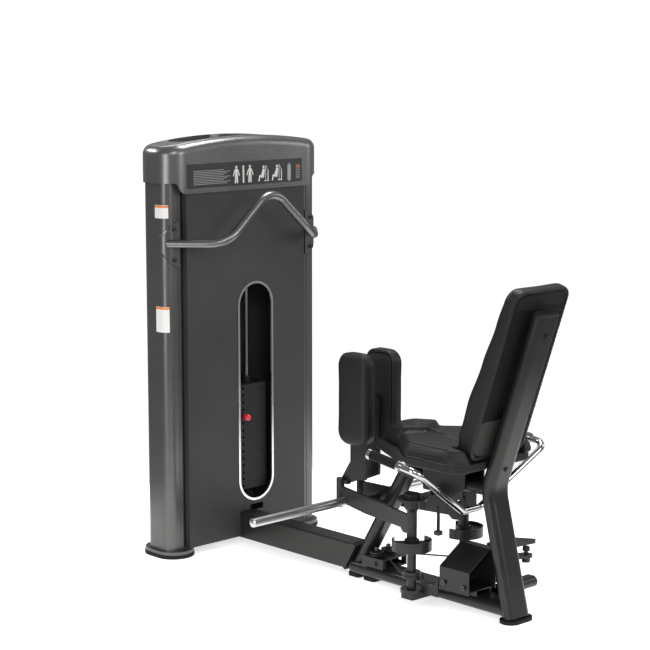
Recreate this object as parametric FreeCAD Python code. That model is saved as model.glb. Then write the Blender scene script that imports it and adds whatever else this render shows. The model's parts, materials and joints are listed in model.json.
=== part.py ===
import FreeCAD, Part
import math
import os

# Seated inner/outer thigh machine with a pin-selected weight stack, in millimetres.
# +X is the seated user's right, +Y points from the seat to the weight tower, +Z is up.
# The origin is on the floor, under the middle of the machine's bounding box.
V = FreeCAD.Vector
os.makedirs("parts", exist_ok=True)

# ---------------------------------------------------------------- driving dimensions
# weight tower
tower_y = 746.0                 # Y of the tower's centre plane
column_x = 343.0                # column centre, each side
column_w, column_d = 80.0, 140.0
column_top = 1440.0
column_wall = 3.0
base_plate = (150.0, 205.0, 12.0)   # oval plate under a column: X, Y, thickness
base_shift = 18.5               # the plates sit this far inboard of their columns
rubber_t = 14.0                 # thickness of a rubber foot
cap_w, cap_d = 784.0, 206.0     # moulded cap, X and Y
cap_bottom, cap_edge, cap_crown = 1424.0, 1556.0, 1590.0
cap_corner, cap_roll = 88.0, 36.0    # corners in plan, and the rolled top edge
apron_low = 1384.0
shroud_half_w = 297.0
shroud_front_y = tower_y - 91.0
shroud_t = 3.0
shroud_bottom, shroud_top = 30.0, 1428.0
handle_y, handle_z, handle_peak = tower_y - 233.0, 1202.0, 1402.0  # tower handle's middle
slot_x, slot_w = 40.0, 172.0    # viewing slot's centre and width
slot_bottom, slot_top = 167.0, 1025.0
member_half_d = 30.0            # the tower's cross members fit between the shrouds' returns

# weight stack
plate_w, plate_d, plate_t = 246.0, 100.0, 27.4
plate_pitch = 27.8
plate_count = 15                # head plate included
stack_bottom = 205.0
stack_front_y = tower_y - 62.0
stack_y = stack_front_y + plate_d / 2
rod_x, rod_r = 60.0, 10.0
lifted_count = 5                # plates above the pin, head plate included

# frame
tube_w, tube_h = 105.0, 50.0    # flat-oval frame tube
beam_w, beam_bottom, beam_top = 82.0, 24.0, 125.0
joint_y = tower_y - 670.0       # where the beam meets the seat frame, at the beam's underside
incline_deg = 31.0              # lean of the front tube, from the vertical
incline_w, incline_h = 76.0, 48.0
base_tube_z = 40.0
post_foot_y = tower_y - 1465.0
post_knee_y, post_knee_z = tower_y - 1357.0, 440.0
post_top_y, post_top_z = tower_y - 1568.0, 1052.0

# leg arms
pivot_x, pivot_y = 134.0, tower_y - 1102.0
shaft_r = 11.0
sleeve_r, neck_r = 18.0, 16.0
sleeve_bottom, neck_top, sleeve_top = 63.0, 192.0, 374.0
boss_x, boss_y, boss_r = 52.0, tower_y - 661.0, 15.0
index_z = 378.0                 # underside of the disc plate that ties the shafts
outrigger_y = tower_y - 1322.0
arm_t = 12.0
peg_r, peg_y, peg_z = 16.0, tower_y - 700.0, 288.0
peg_out = 520.0
cam_r, cam_bottom, cam_top = 70.0, 202.0, 238.0
drum_r, drum_bottom, drum_top = 32.0, 100.0, 124.0

# thigh pads
pad_y, pad_w, pad_bottom, pad_top = tower_y - 760.0, 152.0, 507.0, 844.0
pad_corner = 50.0
pad_in, pad_mid, pad_out = 41.3, 54.0, 100.0  # |x| of the shell's back, the joint and the face

# seat
nose_y, seat_rear_y = tower_y - 846.0, tower_y - 1378.0
seat_half_w, nose_half_w = 208.0, 78.0
pan_bottom, pan_top, seat_top = 516.0, 545.0, 592.0
nose_top, nose_step_y = 618.0, tower_y - 968.0  # the raised nose and where it starts
back_half_w, back_corner = 140.0, 42.0
back_low, back_high = 105.0, 735.0  # the back pad's ends, measured up the post from its knee
back_foot_y = tower_y - 1292.0  # just in front of the back pad's lower edge
grip_x = 328.0
grip_front_y, grip_front_z = tower_y - 1090.0, 567.7
grip_drop = math.tan(math.radians(7.6))
bar_bend_y, bar_low_y, bar_low_z = tower_y - 1308.0, tower_y - 1256.0, 350.0

# cable and its wheels
cable_r = 3.0
cable_z = 112.0
sheave_r, groove_r, sheave_t = 45.0, 40.0, 16.0
wrap_r = groove_r + cable_r + 0.3
top_sheave_y, top_sheave_z = stack_y + wrap_r, 1325.0
base_sheave_y, base_sheave_z = stack_y + wrap_r, cable_z + wrap_r
small_r, small_groove = 27.0, 21.0
small_wrap = small_groove + cable_r + 0.3
drum_wrap = drum_r - 3.0 + 0.3
redirect_y = tower_y - 828.0
arm_cable_x = 6.0
redirect_x = arm_cable_x + small_wrap

running_gap = 0.05              # radial clearance of a shaft in its bore
air = 0.4                       # gap between faces that slide past each other

plates_at_rest = plate_count - lifted_count
stack_top = stack_bottom + plate_count * plate_pitch
pin_z = stack_bottom + (plates_at_rest + 0.5) * plate_pitch


# ---------------------------------------------------------------- helpers
def save(name, *solids):
    """Writes one node. Several solids stay separate pieces in it."""
    shape = solids[0] if len(solids) == 1 else Part.makeCompound(list(solids))
    box = shape.BoundBox
    if not shape.isValid():
        print("INVALID", name)
    print("%-24s %2d solids  %9.1f cm3  x %.0f..%.0f  y %.0f..%.0f  z %.0f..%.0f" % (
        name, len(shape.Solids), shape.Volume / 1000,
        box.XMin, box.XMax, box.YMin, box.YMax, box.ZMin, box.ZMax))
    shape.exportStep("parts/%s.step" % name)


def box(x0, x1, y0, y1, z0, z1):
    return Part.makeBox(x1 - x0, y1 - y0, z1 - z0, V(x0, y0, z0))


def rod(radius, start, end):
    """A round bar between two points."""
    run = V(*end) - V(*start)
    return Part.makeCylinder(radius, run.Length, V(*start), run)


def mirrored(shape):
    """The same piece on the other side of the machine."""
    return shape.mirror(V(0, 0, 0), V(1, 0, 0))


def fuse(*shapes):
    whole = shapes[0]
    for shape in shapes[1:]:
        whole = whole.fuse(shape)
    return whole.removeSplitter()


def biggest(shape):
    """The largest solid of a shape, without the slivers that a cut can leave."""
    return max(shape.Solids, key=lambda solid: solid.Volume)


def rounded_edges(shape, radius, chosen):
    """Fillets the edges for which chosen(edge) holds."""
    return shape.makeFillet(radius, [e for e in shape.Edges if chosen(e)])


def along(axis):
    """Chooses straight edges that run along an axis."""
    def test(edge):
        if not isinstance(edge.Curve, (Part.Line, Part.LineSegment)):
            return False
        run = edge.Vertexes[-1].Point - edge.Vertexes[0].Point
        return abs(run.normalize().dot(axis)) > 0.999
    return test


def filleted_path(points, radii):
    """An open line through points, each inner corner rounded with its radius."""
    points = [V(*p) for p in points]
    edges = []
    last = points[0]
    for i in range(1, len(points) - 1):
        back = (points[i - 1] - points[i]).normalize()
        ahead = (points[i + 1] - points[i]).normalize()
        half = back.getAngle(ahead) / 2
        reach = radii[i - 1] / math.tan(half)
        start, end = points[i] + back * reach, points[i] + ahead * reach
        centre = points[i] + (back + ahead).normalize() * (radii[i - 1] / math.sin(half))
        middle = centre + (points[i] - centre).normalize() * radii[i - 1]
        if (start - last).Length > 0.01:
            edges.append(Part.LineSegment(last, start).toShape())
        edges.append(Part.Arc(start, middle, end).toShape())
        last = end
    edges.append(Part.LineSegment(last, points[-1]).toShape())
    return Part.Wire(edges)


def round_tube(points, radii, r_out, r_in=0.0):
    """A bent round tube, solid where r_in is 0."""
    path = filleted_path(points, radii)
    start, run = V(*points[0]), V(*points[1]) - V(*points[0])
    skins = []
    for radius in (r_out, r_in):
        if radius > 0:
            ring = Part.Wire([Part.makeCircle(radius, start, run)])
            skins.append(path.makePipeShell([ring], True, False))
    return skins[0] if len(skins) == 1 else skins[0].cut(skins[1])


def stadium(width, height):
    """A flat-oval outline about the origin, its long way along X, in the XY plane."""
    r, half = height / 2, (width - height) / 2
    top = Part.LineSegment(V(-half, r, 0), V(half, r, 0)).toShape()
    right = Part.Arc(V(half, r, 0), V(half + r, 0, 0), V(half, -r, 0)).toShape()
    low = Part.LineSegment(V(half, -r, 0), V(-half, -r, 0)).toShape()
    left = Part.Arc(V(-half, -r, 0), V(-half - r, 0, 0), V(-half, r, 0)).toShape()
    return Part.Wire([top, right, low, left])


def rounded_rect(width, depth, radius):
    """A rectangle with four equal round corners about the origin, in the XY plane."""
    x, y, r = width / 2, depth / 2, radius
    k = r * (1 - math.sqrt(0.5))
    edges = []
    corners = ((1, 1), (-1, 1), (-1, -1), (1, -1))
    for i, (sx, sy) in enumerate(corners):
        side, face = V(sx * x, sy * (y - r), 0), V(sx * (x - r), sy * y, 0)
        start, end = (side, face) if sx == sy else (face, side)
        edges.append(Part.Arc(start, V(sx * (x - k), sy * (y - k), 0), end).toShape())
        nx, ny = corners[(i + 1) % 4]
        nside, nface = V(nx * x, ny * (y - r), 0), V(nx * (x - r), ny * y, 0)
        edges.append(Part.LineSegment(end, nside if nx == ny else nface).toShape())
    return Part.Wire(edges)


def prism(wire, z0, z1, x=0.0, y=0.0):
    """A flat outline drawn in XY, raised from z0 to z1."""
    face = Part.Face(wire.copy())
    face.translate(V(x, y, z0))
    return face.extrude(V(0, 0, z1 - z0))


def side_plate(points, x0, x1):
    """A plate drawn in the YZ plane and raised along X."""
    corners = [V(x0, y, z) for y, z in points]
    return Part.Face(Part.makePolygon(corners + corners[:1])).extrude(V(x1 - x0, 0, 0))


def oval_tube(points, radius, width, height, wall):
    """A flat-oval tube whose line lies in the YZ plane, its long way along X."""
    inner = len(points) - 2
    path = filleted_path([(0, y, z) for y, z in points], [radius] * inner)
    run = V(0, points[1][0] - points[0][0], points[1][1] - points[0][1])
    skins = []
    for cut in (0.0, wall):
        ring = stadium(width - 2 * cut, height - 2 * cut)
        ring.Placement = FreeCAD.Placement(
            V(0, *points[0]), FreeCAD.Rotation(V(1, 0, 0), V(0, run.z, -run.y), run, "XZY"))
        skins.append(path.makePipeShell([ring], True, False))
    return skins[0].cut(skins[1])


# ---------------------------------------------------------------- weight tower
def column_outline(cut):
    """The left column in plan: round outside, nearly square inside, drawn in by cut."""
    x, y, r_out, r_in = column_w / 2 - cut, column_d / 2 - cut, 38.0 - cut, 9.0 - cut
    ring = Part.makePolygon([V(-x, -y, 0), V(x, -y, 0), V(x, y, 0), V(-x, y, 0), V(-x, -y, 0)])
    post = prism(ring, 0, 1)
    post = rounded_edges(post, r_out, lambda e: along(V(0, 0, 1))(e) and e.CenterOfMass.x < 0)
    post = rounded_edges(post, r_in, lambda e: along(V(0, 0, 1))(e) and e.CenterOfMass.x > x - 1)
    return [f for f in post.Faces if f.normalAt(0, 0).z < -0.9][0].OuterWire


def column():
    """Left column: a hollow post with a groove down its front, on its oval base plate."""
    floor = rubber_t + base_plate[2]
    outer = prism(column_outline(0.0), floor, column_top, -column_x, tower_y)
    inner = prism(column_outline(column_wall), floor - 1, column_top + 1, -column_x, tower_y)
    groove = box(-column_x + 14, -column_x + 19, tower_y - column_d / 2 - 1,
                 tower_y - column_d / 2 + 1.5, floor - 1, column_top + 1)
    plate = prism(stadium(base_plate[1], base_plate[0]), rubber_t, floor)
    plate.rotate(V(0, 0, 0), V(0, 0, 1), 90)
    plate.translate(V(-column_x + base_shift, tower_y, 0))
    return fuse(outer.cut(inner).cut(groove), plate)


def cap_apron():
    """The cap's lower lip: the front wall carried down, with an S sweep up at each end."""
    top, start, end = cap_bottom + 6, 364.0, 306.0
    across, down = (start - end) / 2, (top - apron_low) / 2
    r = (across ** 2 + down ** 2) / (2 * down)
    swing = (math.pi / 2 + math.atan2(r - down, across)) / 2
    bulge = V(math.cos(swing), 0, math.sin(swing)) * r
    middle = V(-end - across, 0, apron_low + down)
    left = [V(-start, 0, top), V(-start, 0, top - r) + bulge, middle,
            V(-end, 0, apron_low + r) - bulge, V(-end, 0, apron_low)]
    right = [V(-p.x, 0, p.z) for p in reversed(left)]
    edges = []
    for side in (left, right):
        edges += [Part.Arc(*side[:3]).toShape(), Part.Arc(*side[2:]).toShape()]
    edges.insert(2, Part.LineSegment(left[-1], right[0]).toShape())
    over = [right[-1], V(start, 0, top + 10), V(-start, 0, top + 10), left[0]]
    edges += [Part.LineSegment(over[i], over[i + 1]).toShape() for i in range(3)]
    face = Part.Face(Part.Wire(edges))
    face.translate(V(0, tower_y - cap_d / 2 - 5, 0))
    band = prism(rounded_rect(cap_w, cap_d, cap_corner), apron_low - 5, cap_bottom + 2, 0, tower_y)
    band = band.cut(prism(rounded_rect(cap_w - 10, cap_d - 10, cap_corner - 5), apron_low - 6,
                          cap_bottom + 3, 0, tower_y))
    return biggest(band.common(face.extrude(V(0, 60, 0))))


def tower():
    left = column()
    save("left_column", left)
    save("right_column", mirrored(left))

    # Moulded cap: round ends, crowned along X, with a rolled edge, a lip and two trays.
    lift = cap_crown - cap_edge
    crown_r = (cap_w ** 2 / 4 + lift ** 2) / (2 * lift)
    body = prism(rounded_rect(cap_w, cap_d, cap_corner), cap_bottom, cap_crown + 20, 0, tower_y)
    crown = Part.makeCylinder(crown_r, cap_d + 40, V(0, tower_y - cap_d / 2 - 20,
                              cap_crown - crown_r), V(0, 1, 0))
    body = body.common(crown)
    body = rounded_edges(body, cap_roll, lambda e: e.CenterOfMass.z > cap_edge - 30)
    hollow = prism(rounded_rect(cap_w - 8, cap_d - 8, cap_corner - 4), cap_bottom - 1,
                   cap_bottom + 22, 0, tower_y)
    core = prism(rounded_rect(cap_w - 60, cap_d - 40, 40), cap_bottom, cap_bottom + 62, 0, tower_y)
    # The trays share one rounded well, parted by a curved wall.
    well = prism(rounded_rect(580, 136, 66), cap_edge - 56, cap_crown + 5, 6, tower_y + 4)
    part_x, part_r = -212.0, 222.0
    wall = rod(part_r + 5, (part_x, tower_y - 66, 1400), (part_x, tower_y - 66, 1700))
    wall = wall.cut(rod(part_r - 5, (part_x, tower_y - 66, 1390), (part_x, tower_y - 66, 1710)))
    body = body.cut(hollow).cut(core).cut(well.cut(wall))
    sign_bed = box(-304, 276, tower_y - 104, tower_y - 101, 1402, 1493)
    save("tower_cap", fuse(body, cap_apron()).cut(sign_bed))
    sign = box(-303, 275, tower_y - 103.4, tower_y - 101.2, 1403, 1492)
    sign = rounded_edges(sign, 16, lambda e: along(V(0, 1, 0))(e) and e.CenterOfMass.z < 1404)
    save("placard", sign)

    # Folded front shroud with the stack's viewing slot and a notch for the beam.
    def shroud(front_y, depth, cuts):
        sign = 1 if depth > 0 else -1
        near, far = sorted((front_y, front_y + sign * shroud_t))
        skin = box(-shroud_half_w, shroud_half_w, near, far, shroud_bottom, shroud_top)
        flanges = []
        for side in (-1, 1):
            x0, x1 = sorted((side * shroud_half_w, side * (shroud_half_w - shroud_t)))
            y0, y1 = sorted((front_y, front_y + depth))
            flanges.append(box(x0, x1, y0, y1, shroud_bottom, shroud_top))
        panel = fuse(skin, *flanges)
        for cut in cuts:
            panel = panel.cut(cut)
        return panel

    def slot(grow, depth, y):
        ring = stadium(slot_top - slot_bottom + 2 * grow, slot_w + 2 * grow)
        hole = prism(ring, 0, depth)
        hole.rotate(V(0, 0, 0), V(0, 1, 0), 90)
        hole.rotate(V(0, 0, 0), V(0, 0, 1), 90)
        hole.translate(V(slot_x, y, (slot_top + slot_bottom) / 2))
        return hole

    notch = box(-beam_w / 2 - 2, beam_w / 2 + 2, shroud_front_y - 5, shroud_front_y + 10,
                shroud_bottom - 5, beam_top + 3)
    cable_gap = box(8, 76, shroud_front_y - 5, shroud_front_y + 10, beam_top, beam_top + 24)
    save("front_shroud", shroud(shroud_front_y, 60, [slot(0, 20, shroud_front_y - 5), notch, cable_gap]))
    save("rear_shroud", shroud(2 * tower_y - shroud_front_y, -60, []))
    lip = slot(-0.1, 7, shroud_front_y - 3).cut(slot(-5, 20, shroud_front_y - 9))
    flange = slot(4, 2.6, shroud_front_y - 3).cut(slot(-5, 20, shroud_front_y - 9))
    save("slot_trim", fuse(lip, flange))

    inner_x = column_x - column_w / 2 - air
    members = []
    for z0, z1 in ((1384, 1424), (40, 120)):
        member = box(-inner_x, inner_x, tower_y - member_half_d, tower_y + member_half_d, z0, z1)
        members.append(member.cut(box(-inner_x - 1, inner_x + 1, tower_y - member_half_d + 3,
                                      tower_y + member_half_d - 3, z0 + 3, z1 - 3)))
    pulley_well = box(-26, 26, base_sheave_y - sheave_r - 6, tower_y + 40, 30, 130)
    cable_way = box(-14, 14, tower_y - 80, tower_y + 40, cable_z - 9, cable_z + 20)
    members[1] = members[1].cut(pulley_well).cut(cable_way)
    save("tower_crossmembers", *members)


def tower_handle():
    """A tube that comes forward from both columns and arches up between them, on bent plates."""
    face = tower_y - column_d / 2
    plate_t = 6.0
    root_x, bend_x = 362.0, 221.0
    reach = (face - plate_t - handle_y) / (root_x - bend_x)
    inside = (-root_x - 30, face - plate_t + 30 * reach, handle_z)
    bend = (-bend_x, handle_y, handle_z)
    mirror = [(-x, y, z) for x, y, z in (bend, inside)]
    tube = round_tube([inside, bend, (0, handle_y, handle_peak), *mirror], [120, 90, 120], 16, 13)
    behind = box(-500, 500, face - plate_t - air, face + 200, 1000, 1400)
    save("tower_handle", tube.cut(behind))

    # D-shaped plates wrapped round the columns' outer corners.
    middle_z, disc_r = 1197.0, 90.0
    wrap = prism(column_outline(-plate_t), 1050, 1350, -column_x, tower_y)
    wrap = wrap.cut(prism(column_outline(-0.2), 1040, 1360, -column_x, tower_y))
    centre = (-299.0, middle_z)
    disc = rod(disc_r, (centre[0], face - 40, centre[1]), (centre[0], face + 38, centre[1]))
    wrap = biggest(wrap.common(disc).cut(box(-318, 0, face - 60, face + 60, 1000, 1400)))
    save("handle_plates", wrap, mirrored(wrap))
    return [socket_screw(V(side * 346.0, face - plate_t - 0.2, middle_z + dz), V(0, -1, 0))
            for side in (-1, 1) for dz in (-58, 58)]


def socket_screw(seat, out):
    """An M10 cap screw's head with its hexagon socket, standing on seat and facing out."""
    head = Part.makeCylinder(8, 8, seat, out)
    hexagon = Part.makePolygon([V(4.2 * math.cos(math.radians(60 * i)),
                                  4.2 * math.sin(math.radians(60 * i)), 0) for i in range(7)])
    socket = Part.Face(hexagon).extrude(V(0, 0, 6))
    socket.Placement = FreeCAD.Placement(seat + out * 3.5, FreeCAD.Rotation(V(0, 0, 1), out))
    return head.cut(socket)


# ---------------------------------------------------------------- weight stack
def weight_plate(index, stem_bore):
    """One stack plate: two guide-rod holes, the stem's hole and a pin hole across."""
    z = stack_bottom + index * plate_pitch
    plate = box(-plate_w / 2, plate_w / 2, stack_front_y, stack_front_y + plate_d, z, z + plate_t)
    plate = rounded_edges(plate, 6, along(V(0, 0, 1)))
    for side in (-1, 1):
        plate = plate.cut(rod(rod_r + 1.5, (side * rod_x, stack_y, z - 1), (side * rod_x, stack_y, z + 40)))
    plate = plate.cut(rod(stem_bore, (0, stack_y, z - 1), (0, stack_y, z + 40)))
    middle = z + plate_t / 2
    return plate.cut(rod(5.5, (0, stack_front_y - 1, middle), (0, stack_y + 22, middle)))


def weight_stack():
    stem_r = 12.5
    at_rest = [weight_plate(i, stem_r + 2) for i in range(plates_at_rest)]
    lifted = [weight_plate(i, stem_r + 2) for i in range(plates_at_rest, plate_count - 1)]
    save("resting_plates", *at_rest)
    save("lifted_plates", *lifted)

    head_z = stack_top - plate_pitch
    head = weight_plate(plate_count - 1, stem_r + 0.1)
    collars = []
    for side in (-1, 1):
        centre = (side * rod_x, stack_y)
        collar = rod(19, (*centre, head_z + plate_t - 1), (*centre, head_z + plate_t + 26))
        collars.append(collar.cut(rod(rod_r + running_gap, (*centre, head_z), (*centre, head_z + 60))))
    save("head_plate", fuse(head, *collars))

    stem = rod(stem_r, (0, stack_y, stack_bottom + 6), (0, stack_y, stack_top + 44))
    stem = stem.cut(rod(cable_r + 0.5, (0, stack_y, stack_top - 130), (0, stack_y, stack_top + 50)))
    for i in range(plate_count):
        middle = stack_bottom + i * plate_pitch + plate_t / 2
        stem = stem.cut(rod(5.5, (0, stack_y - 30, middle), (0, stack_y + 30, middle)))
    save("selector_stem", stem)

    front = stack_front_y - 7
    pin = rod(4.7, (0, front, pin_z - 0.2), (0, stack_y + 20, pin_z - 0.2))
    save("selector_pin", pin)
    knob = rod(13, (0, front - 26, pin_z - 0.2), (0, front, pin_z - 0.2))
    knob = rounded_edges(knob, 4, lambda e: isinstance(e.Curve, Part.Circle))
    save("selector_knob", knob.cut(rod(4.75, (0, front - 8, pin_z - 0.2), (0, front + 2, pin_z - 0.2))))

    rods, buffers = [], []
    for side in (-1, 1):
        centre = (side * rod_x, stack_y)
        rods.append(rod(rod_r, (*centre, 120.3), (*centre, 1383.7)))
        buffer = rod(26, (*centre, 121), (*centre, stack_bottom - 0.3))
        buffers.append(buffer.cut(rod(rod_r + 0.5, (*centre, 100), (*centre, 300))))
    save("guide_rods", *rods)
    save("stack_buffers", *buffers)


# ---------------------------------------------------------------- cable and pulleys
def sheave(radius, groove, thickness, bore, centre, axis):
    """A grooved cable wheel with a hub, about its own axis."""
    wheel = Part.makeCylinder(radius, thickness, V(0, 0, -thickness / 2))
    ring = Part.makeTorus(groove + cable_r + 0.6, cable_r + 0.6)
    wheel = wheel.cut(ring)
    mouth = Part.makeCylinder(radius + 5, 2 * cable_r + 1.2, V(0, 0, -cable_r - 0.6))
    mouth = mouth.cut(Part.makeCylinder(groove + cable_r + 0.6, 40, V(0, 0, -20)))
    wheel = wheel.cut(mouth)
    for side in (-1, 1):
        dish = Part.makeCylinder(groove - 6, 4, V(0, 0, thickness / 2 - 4 if side > 0 else -thickness / 2))
        hub = Part.makeCylinder(bore + 7, 4, V(0, 0, thickness / 2 - 4 if side > 0 else -thickness / 2))
        wheel = wheel.cut(dish.cut(hub))
    wheel = wheel.cut(Part.makeCylinder(bore, 60, V(0, 0, -30)))
    wheel.Placement = FreeCAD.Placement(V(*centre), FreeCAD.Rotation(V(0, 0, 1), V(*axis)))
    return wheel


def pulleys():
    axle_r = 6.0
    bore = axle_r + running_gap
    centres = {"top_pulley": (0, top_sheave_y, top_sheave_z), "base_pulley": (0, base_sheave_y, base_sheave_z)}
    for name, centre in centres.items():
        save(name, sheave(sheave_r, groove_r, sheave_t, bore, centre, (1, 0, 0)))
    small = sheave(small_r, small_groove, 14, bore, (-redirect_x, redirect_y, cable_z), (0, 0, 1))
    save("left_redirect_pulley", small)
    save("right_redirect_pulley", mirrored(small))

    # Hanger under the top crossmember: two cheeks, a bridge and the axle.
    def cheeks(y, z0, z1):
        pair = []
        for side in (-1, 1):
            x0, x1 = sorted((side * (sheave_t / 2 + 1.5), side * (sheave_t / 2 + 5.5)))
            pair.append(box(x0, x1, y - 18, y + 18, z0, z1))
        return pair
    wide = sheave_t / 2 + 5.5
    hanger = fuse(*cheeks(top_sheave_y, top_sheave_z - 18, 1383.6),
                  box(-wide, wide, top_sheave_y - 18, top_sheave_y + 18, 1380, 1383.6),
                  rod(axle_r, (-22, top_sheave_y, top_sheave_z), (22, top_sheave_y, top_sheave_z)))
    # Stand for the base pulley, on the floor plate behind the lower crossmember.
    rear = tower_y + member_half_d + 0.2
    stand = fuse(*cheeks(base_sheave_y, 60, base_sheave_z + 16),
                 box(-wide, wide, base_sheave_y - 18, base_sheave_y + 18, 60, 64),
                 box(-60, 60, rear, rear + 5, 44, 100).cut(box(-wide, wide, rear - 1, rear + 6, 64, 101)),
                 rod(axle_r, (-22, base_sheave_y, base_sheave_z), (22, base_sheave_y, base_sheave_z)))
    # Raised channel on the base tube with the two upright axles of the redirect pulleys.
    channel = box(-62, 62, redirect_y - 62, redirect_y + 44, base_tube_z + tube_h / 2 + 0.2, 102)
    channel = channel.cut(box(-58, 58, redirect_y - 70, redirect_y + 50, 69, 98))
    channel = channel.cut(rod(9, (-80, redirect_y - 30, 84), (80, redirect_y - 30, 84)))
    axles = []
    for side in (-1, 1):
        foot = (side * redirect_x, redirect_y)
        axles.append(rod(axle_r, (*foot, 99), (*foot, cable_z + 13)))
        axles.append(rod(10, (*foot, 101), (*foot, cable_z - 8)))
        axles.append(rod(9, (*foot, cable_z + 8), (*foot, cable_z + 14)))
    save("pulley_brackets", hanger, stand, fuse(channel, *axles))


def tangent(start, r_start, end, r_end):
    """Where a straight cable leaves a wheel on its right and meets a drum on its left, in plan."""
    gap = V(end[0] - start[0], end[1] - start[1], 0)
    turn = math.asin((r_start + r_end) / gap.Length)
    heading = math.atan2(gap.y, gap.x) - turn
    right = V(math.sin(heading), -math.cos(heading), 0)
    return V(*start, cable_z) - right * r_start, V(*end, cable_z) + right * r_end, right


def cables():
    """The stack's cable, over the top wheel and under the base one, and one cable to each arm's drum."""
    rear_y = stack_y + 2 * wrap_r
    joint = tower_y - 560.0
    over = Part.Arc(V(0, stack_y, top_sheave_z), V(0, top_sheave_y, top_sheave_z + wrap_r),
                    V(0, rear_y, top_sheave_z))
    under = Part.Arc(V(0, rear_y, base_sheave_z),
                     V(0, base_sheave_y + wrap_r * math.sqrt(0.5), base_sheave_z - wrap_r * math.sqrt(0.5)),
                     V(0, base_sheave_y, cable_z))
    stem_end = V(0, stack_y, stack_top + 34)
    line = Part.Wire([Part.LineSegment(stem_end, V(0, stack_y, top_sheave_z)).toShape(), over.toShape(),
                      Part.LineSegment(V(0, rear_y, top_sheave_z), V(0, rear_y, base_sheave_z)).toShape(),
                      under.toShape(),
                      Part.LineSegment(V(0, base_sheave_y, cable_z), V(0, joint, cable_z)).toShape()])
    ring = Part.Wire([Part.makeCircle(cable_r, stem_end, V(0, 0, 1))])
    save("stack_cable", line.makePipeShell([ring], True, False))

    wheel, drum = (-redirect_x, redirect_y), (-pivot_x, pivot_y)
    leave, meet, right = tangent(wheel, small_wrap, drum, drum_wrap)
    first = V(-arm_cable_x, redirect_y, cable_z)
    bulge = (first - V(*wheel, cable_z)) + (leave - V(*wheel, cable_z))
    bend = Part.Arc(first, V(*wheel, cable_z) + bulge.normalize() * small_wrap, leave)
    angle = math.atan2(right.y, right.x)
    wrapped = [V(*drum, cable_z) + V(math.cos(angle + t), math.sin(angle + t), 0) * drum_wrap
               for t in (0, math.radians(50), math.radians(100))]
    wrap = Part.Arc(wrapped[0], wrapped[1], wrapped[2])
    start = V(-arm_cable_x, joint - 46, cable_z)
    line = Part.Wire([Part.LineSegment(start, first).toShape(), bend.toShape(),
                      Part.LineSegment(leave, meet).toShape(), wrap.toShape()])
    ring = Part.Wire([Part.makeCircle(cable_r, start, V(0, -1, 0))])
    left = line.makePipeShell([ring], True, False)
    yoke = box(-14, 14, joint - 46, joint, cable_z - 7, cable_z + 7)
    save("arm_cables", left, mirrored(left), yoke)


# ---------------------------------------------------------------- frame
def lean_point(z, out=0.0):
    """Y of the front tube's front face at a height, moved back square to the face by out."""
    lean = math.radians(incline_deg)
    return joint_y - (z - beam_bottom) * math.tan(lean) - out / math.cos(lean)


def lean_flange(y_near, y_far, window):
    """A flange plate that lies on the leaning joint, between two distances from its face."""
    height = (beam_top - beam_bottom) / math.cos(math.radians(incline_deg)) + 6
    plate = box(-52, 52, y_near, y_far, 2, height)
    plate = rounded_edges(plate, 8, along(V(0, 1, 0)))
    plate.rotate(V(0, 0, 0), V(1, 0, 0), incline_deg)
    plate.translate(V(0, joint_y, beam_bottom))
    return plate.cut(window)


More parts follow.
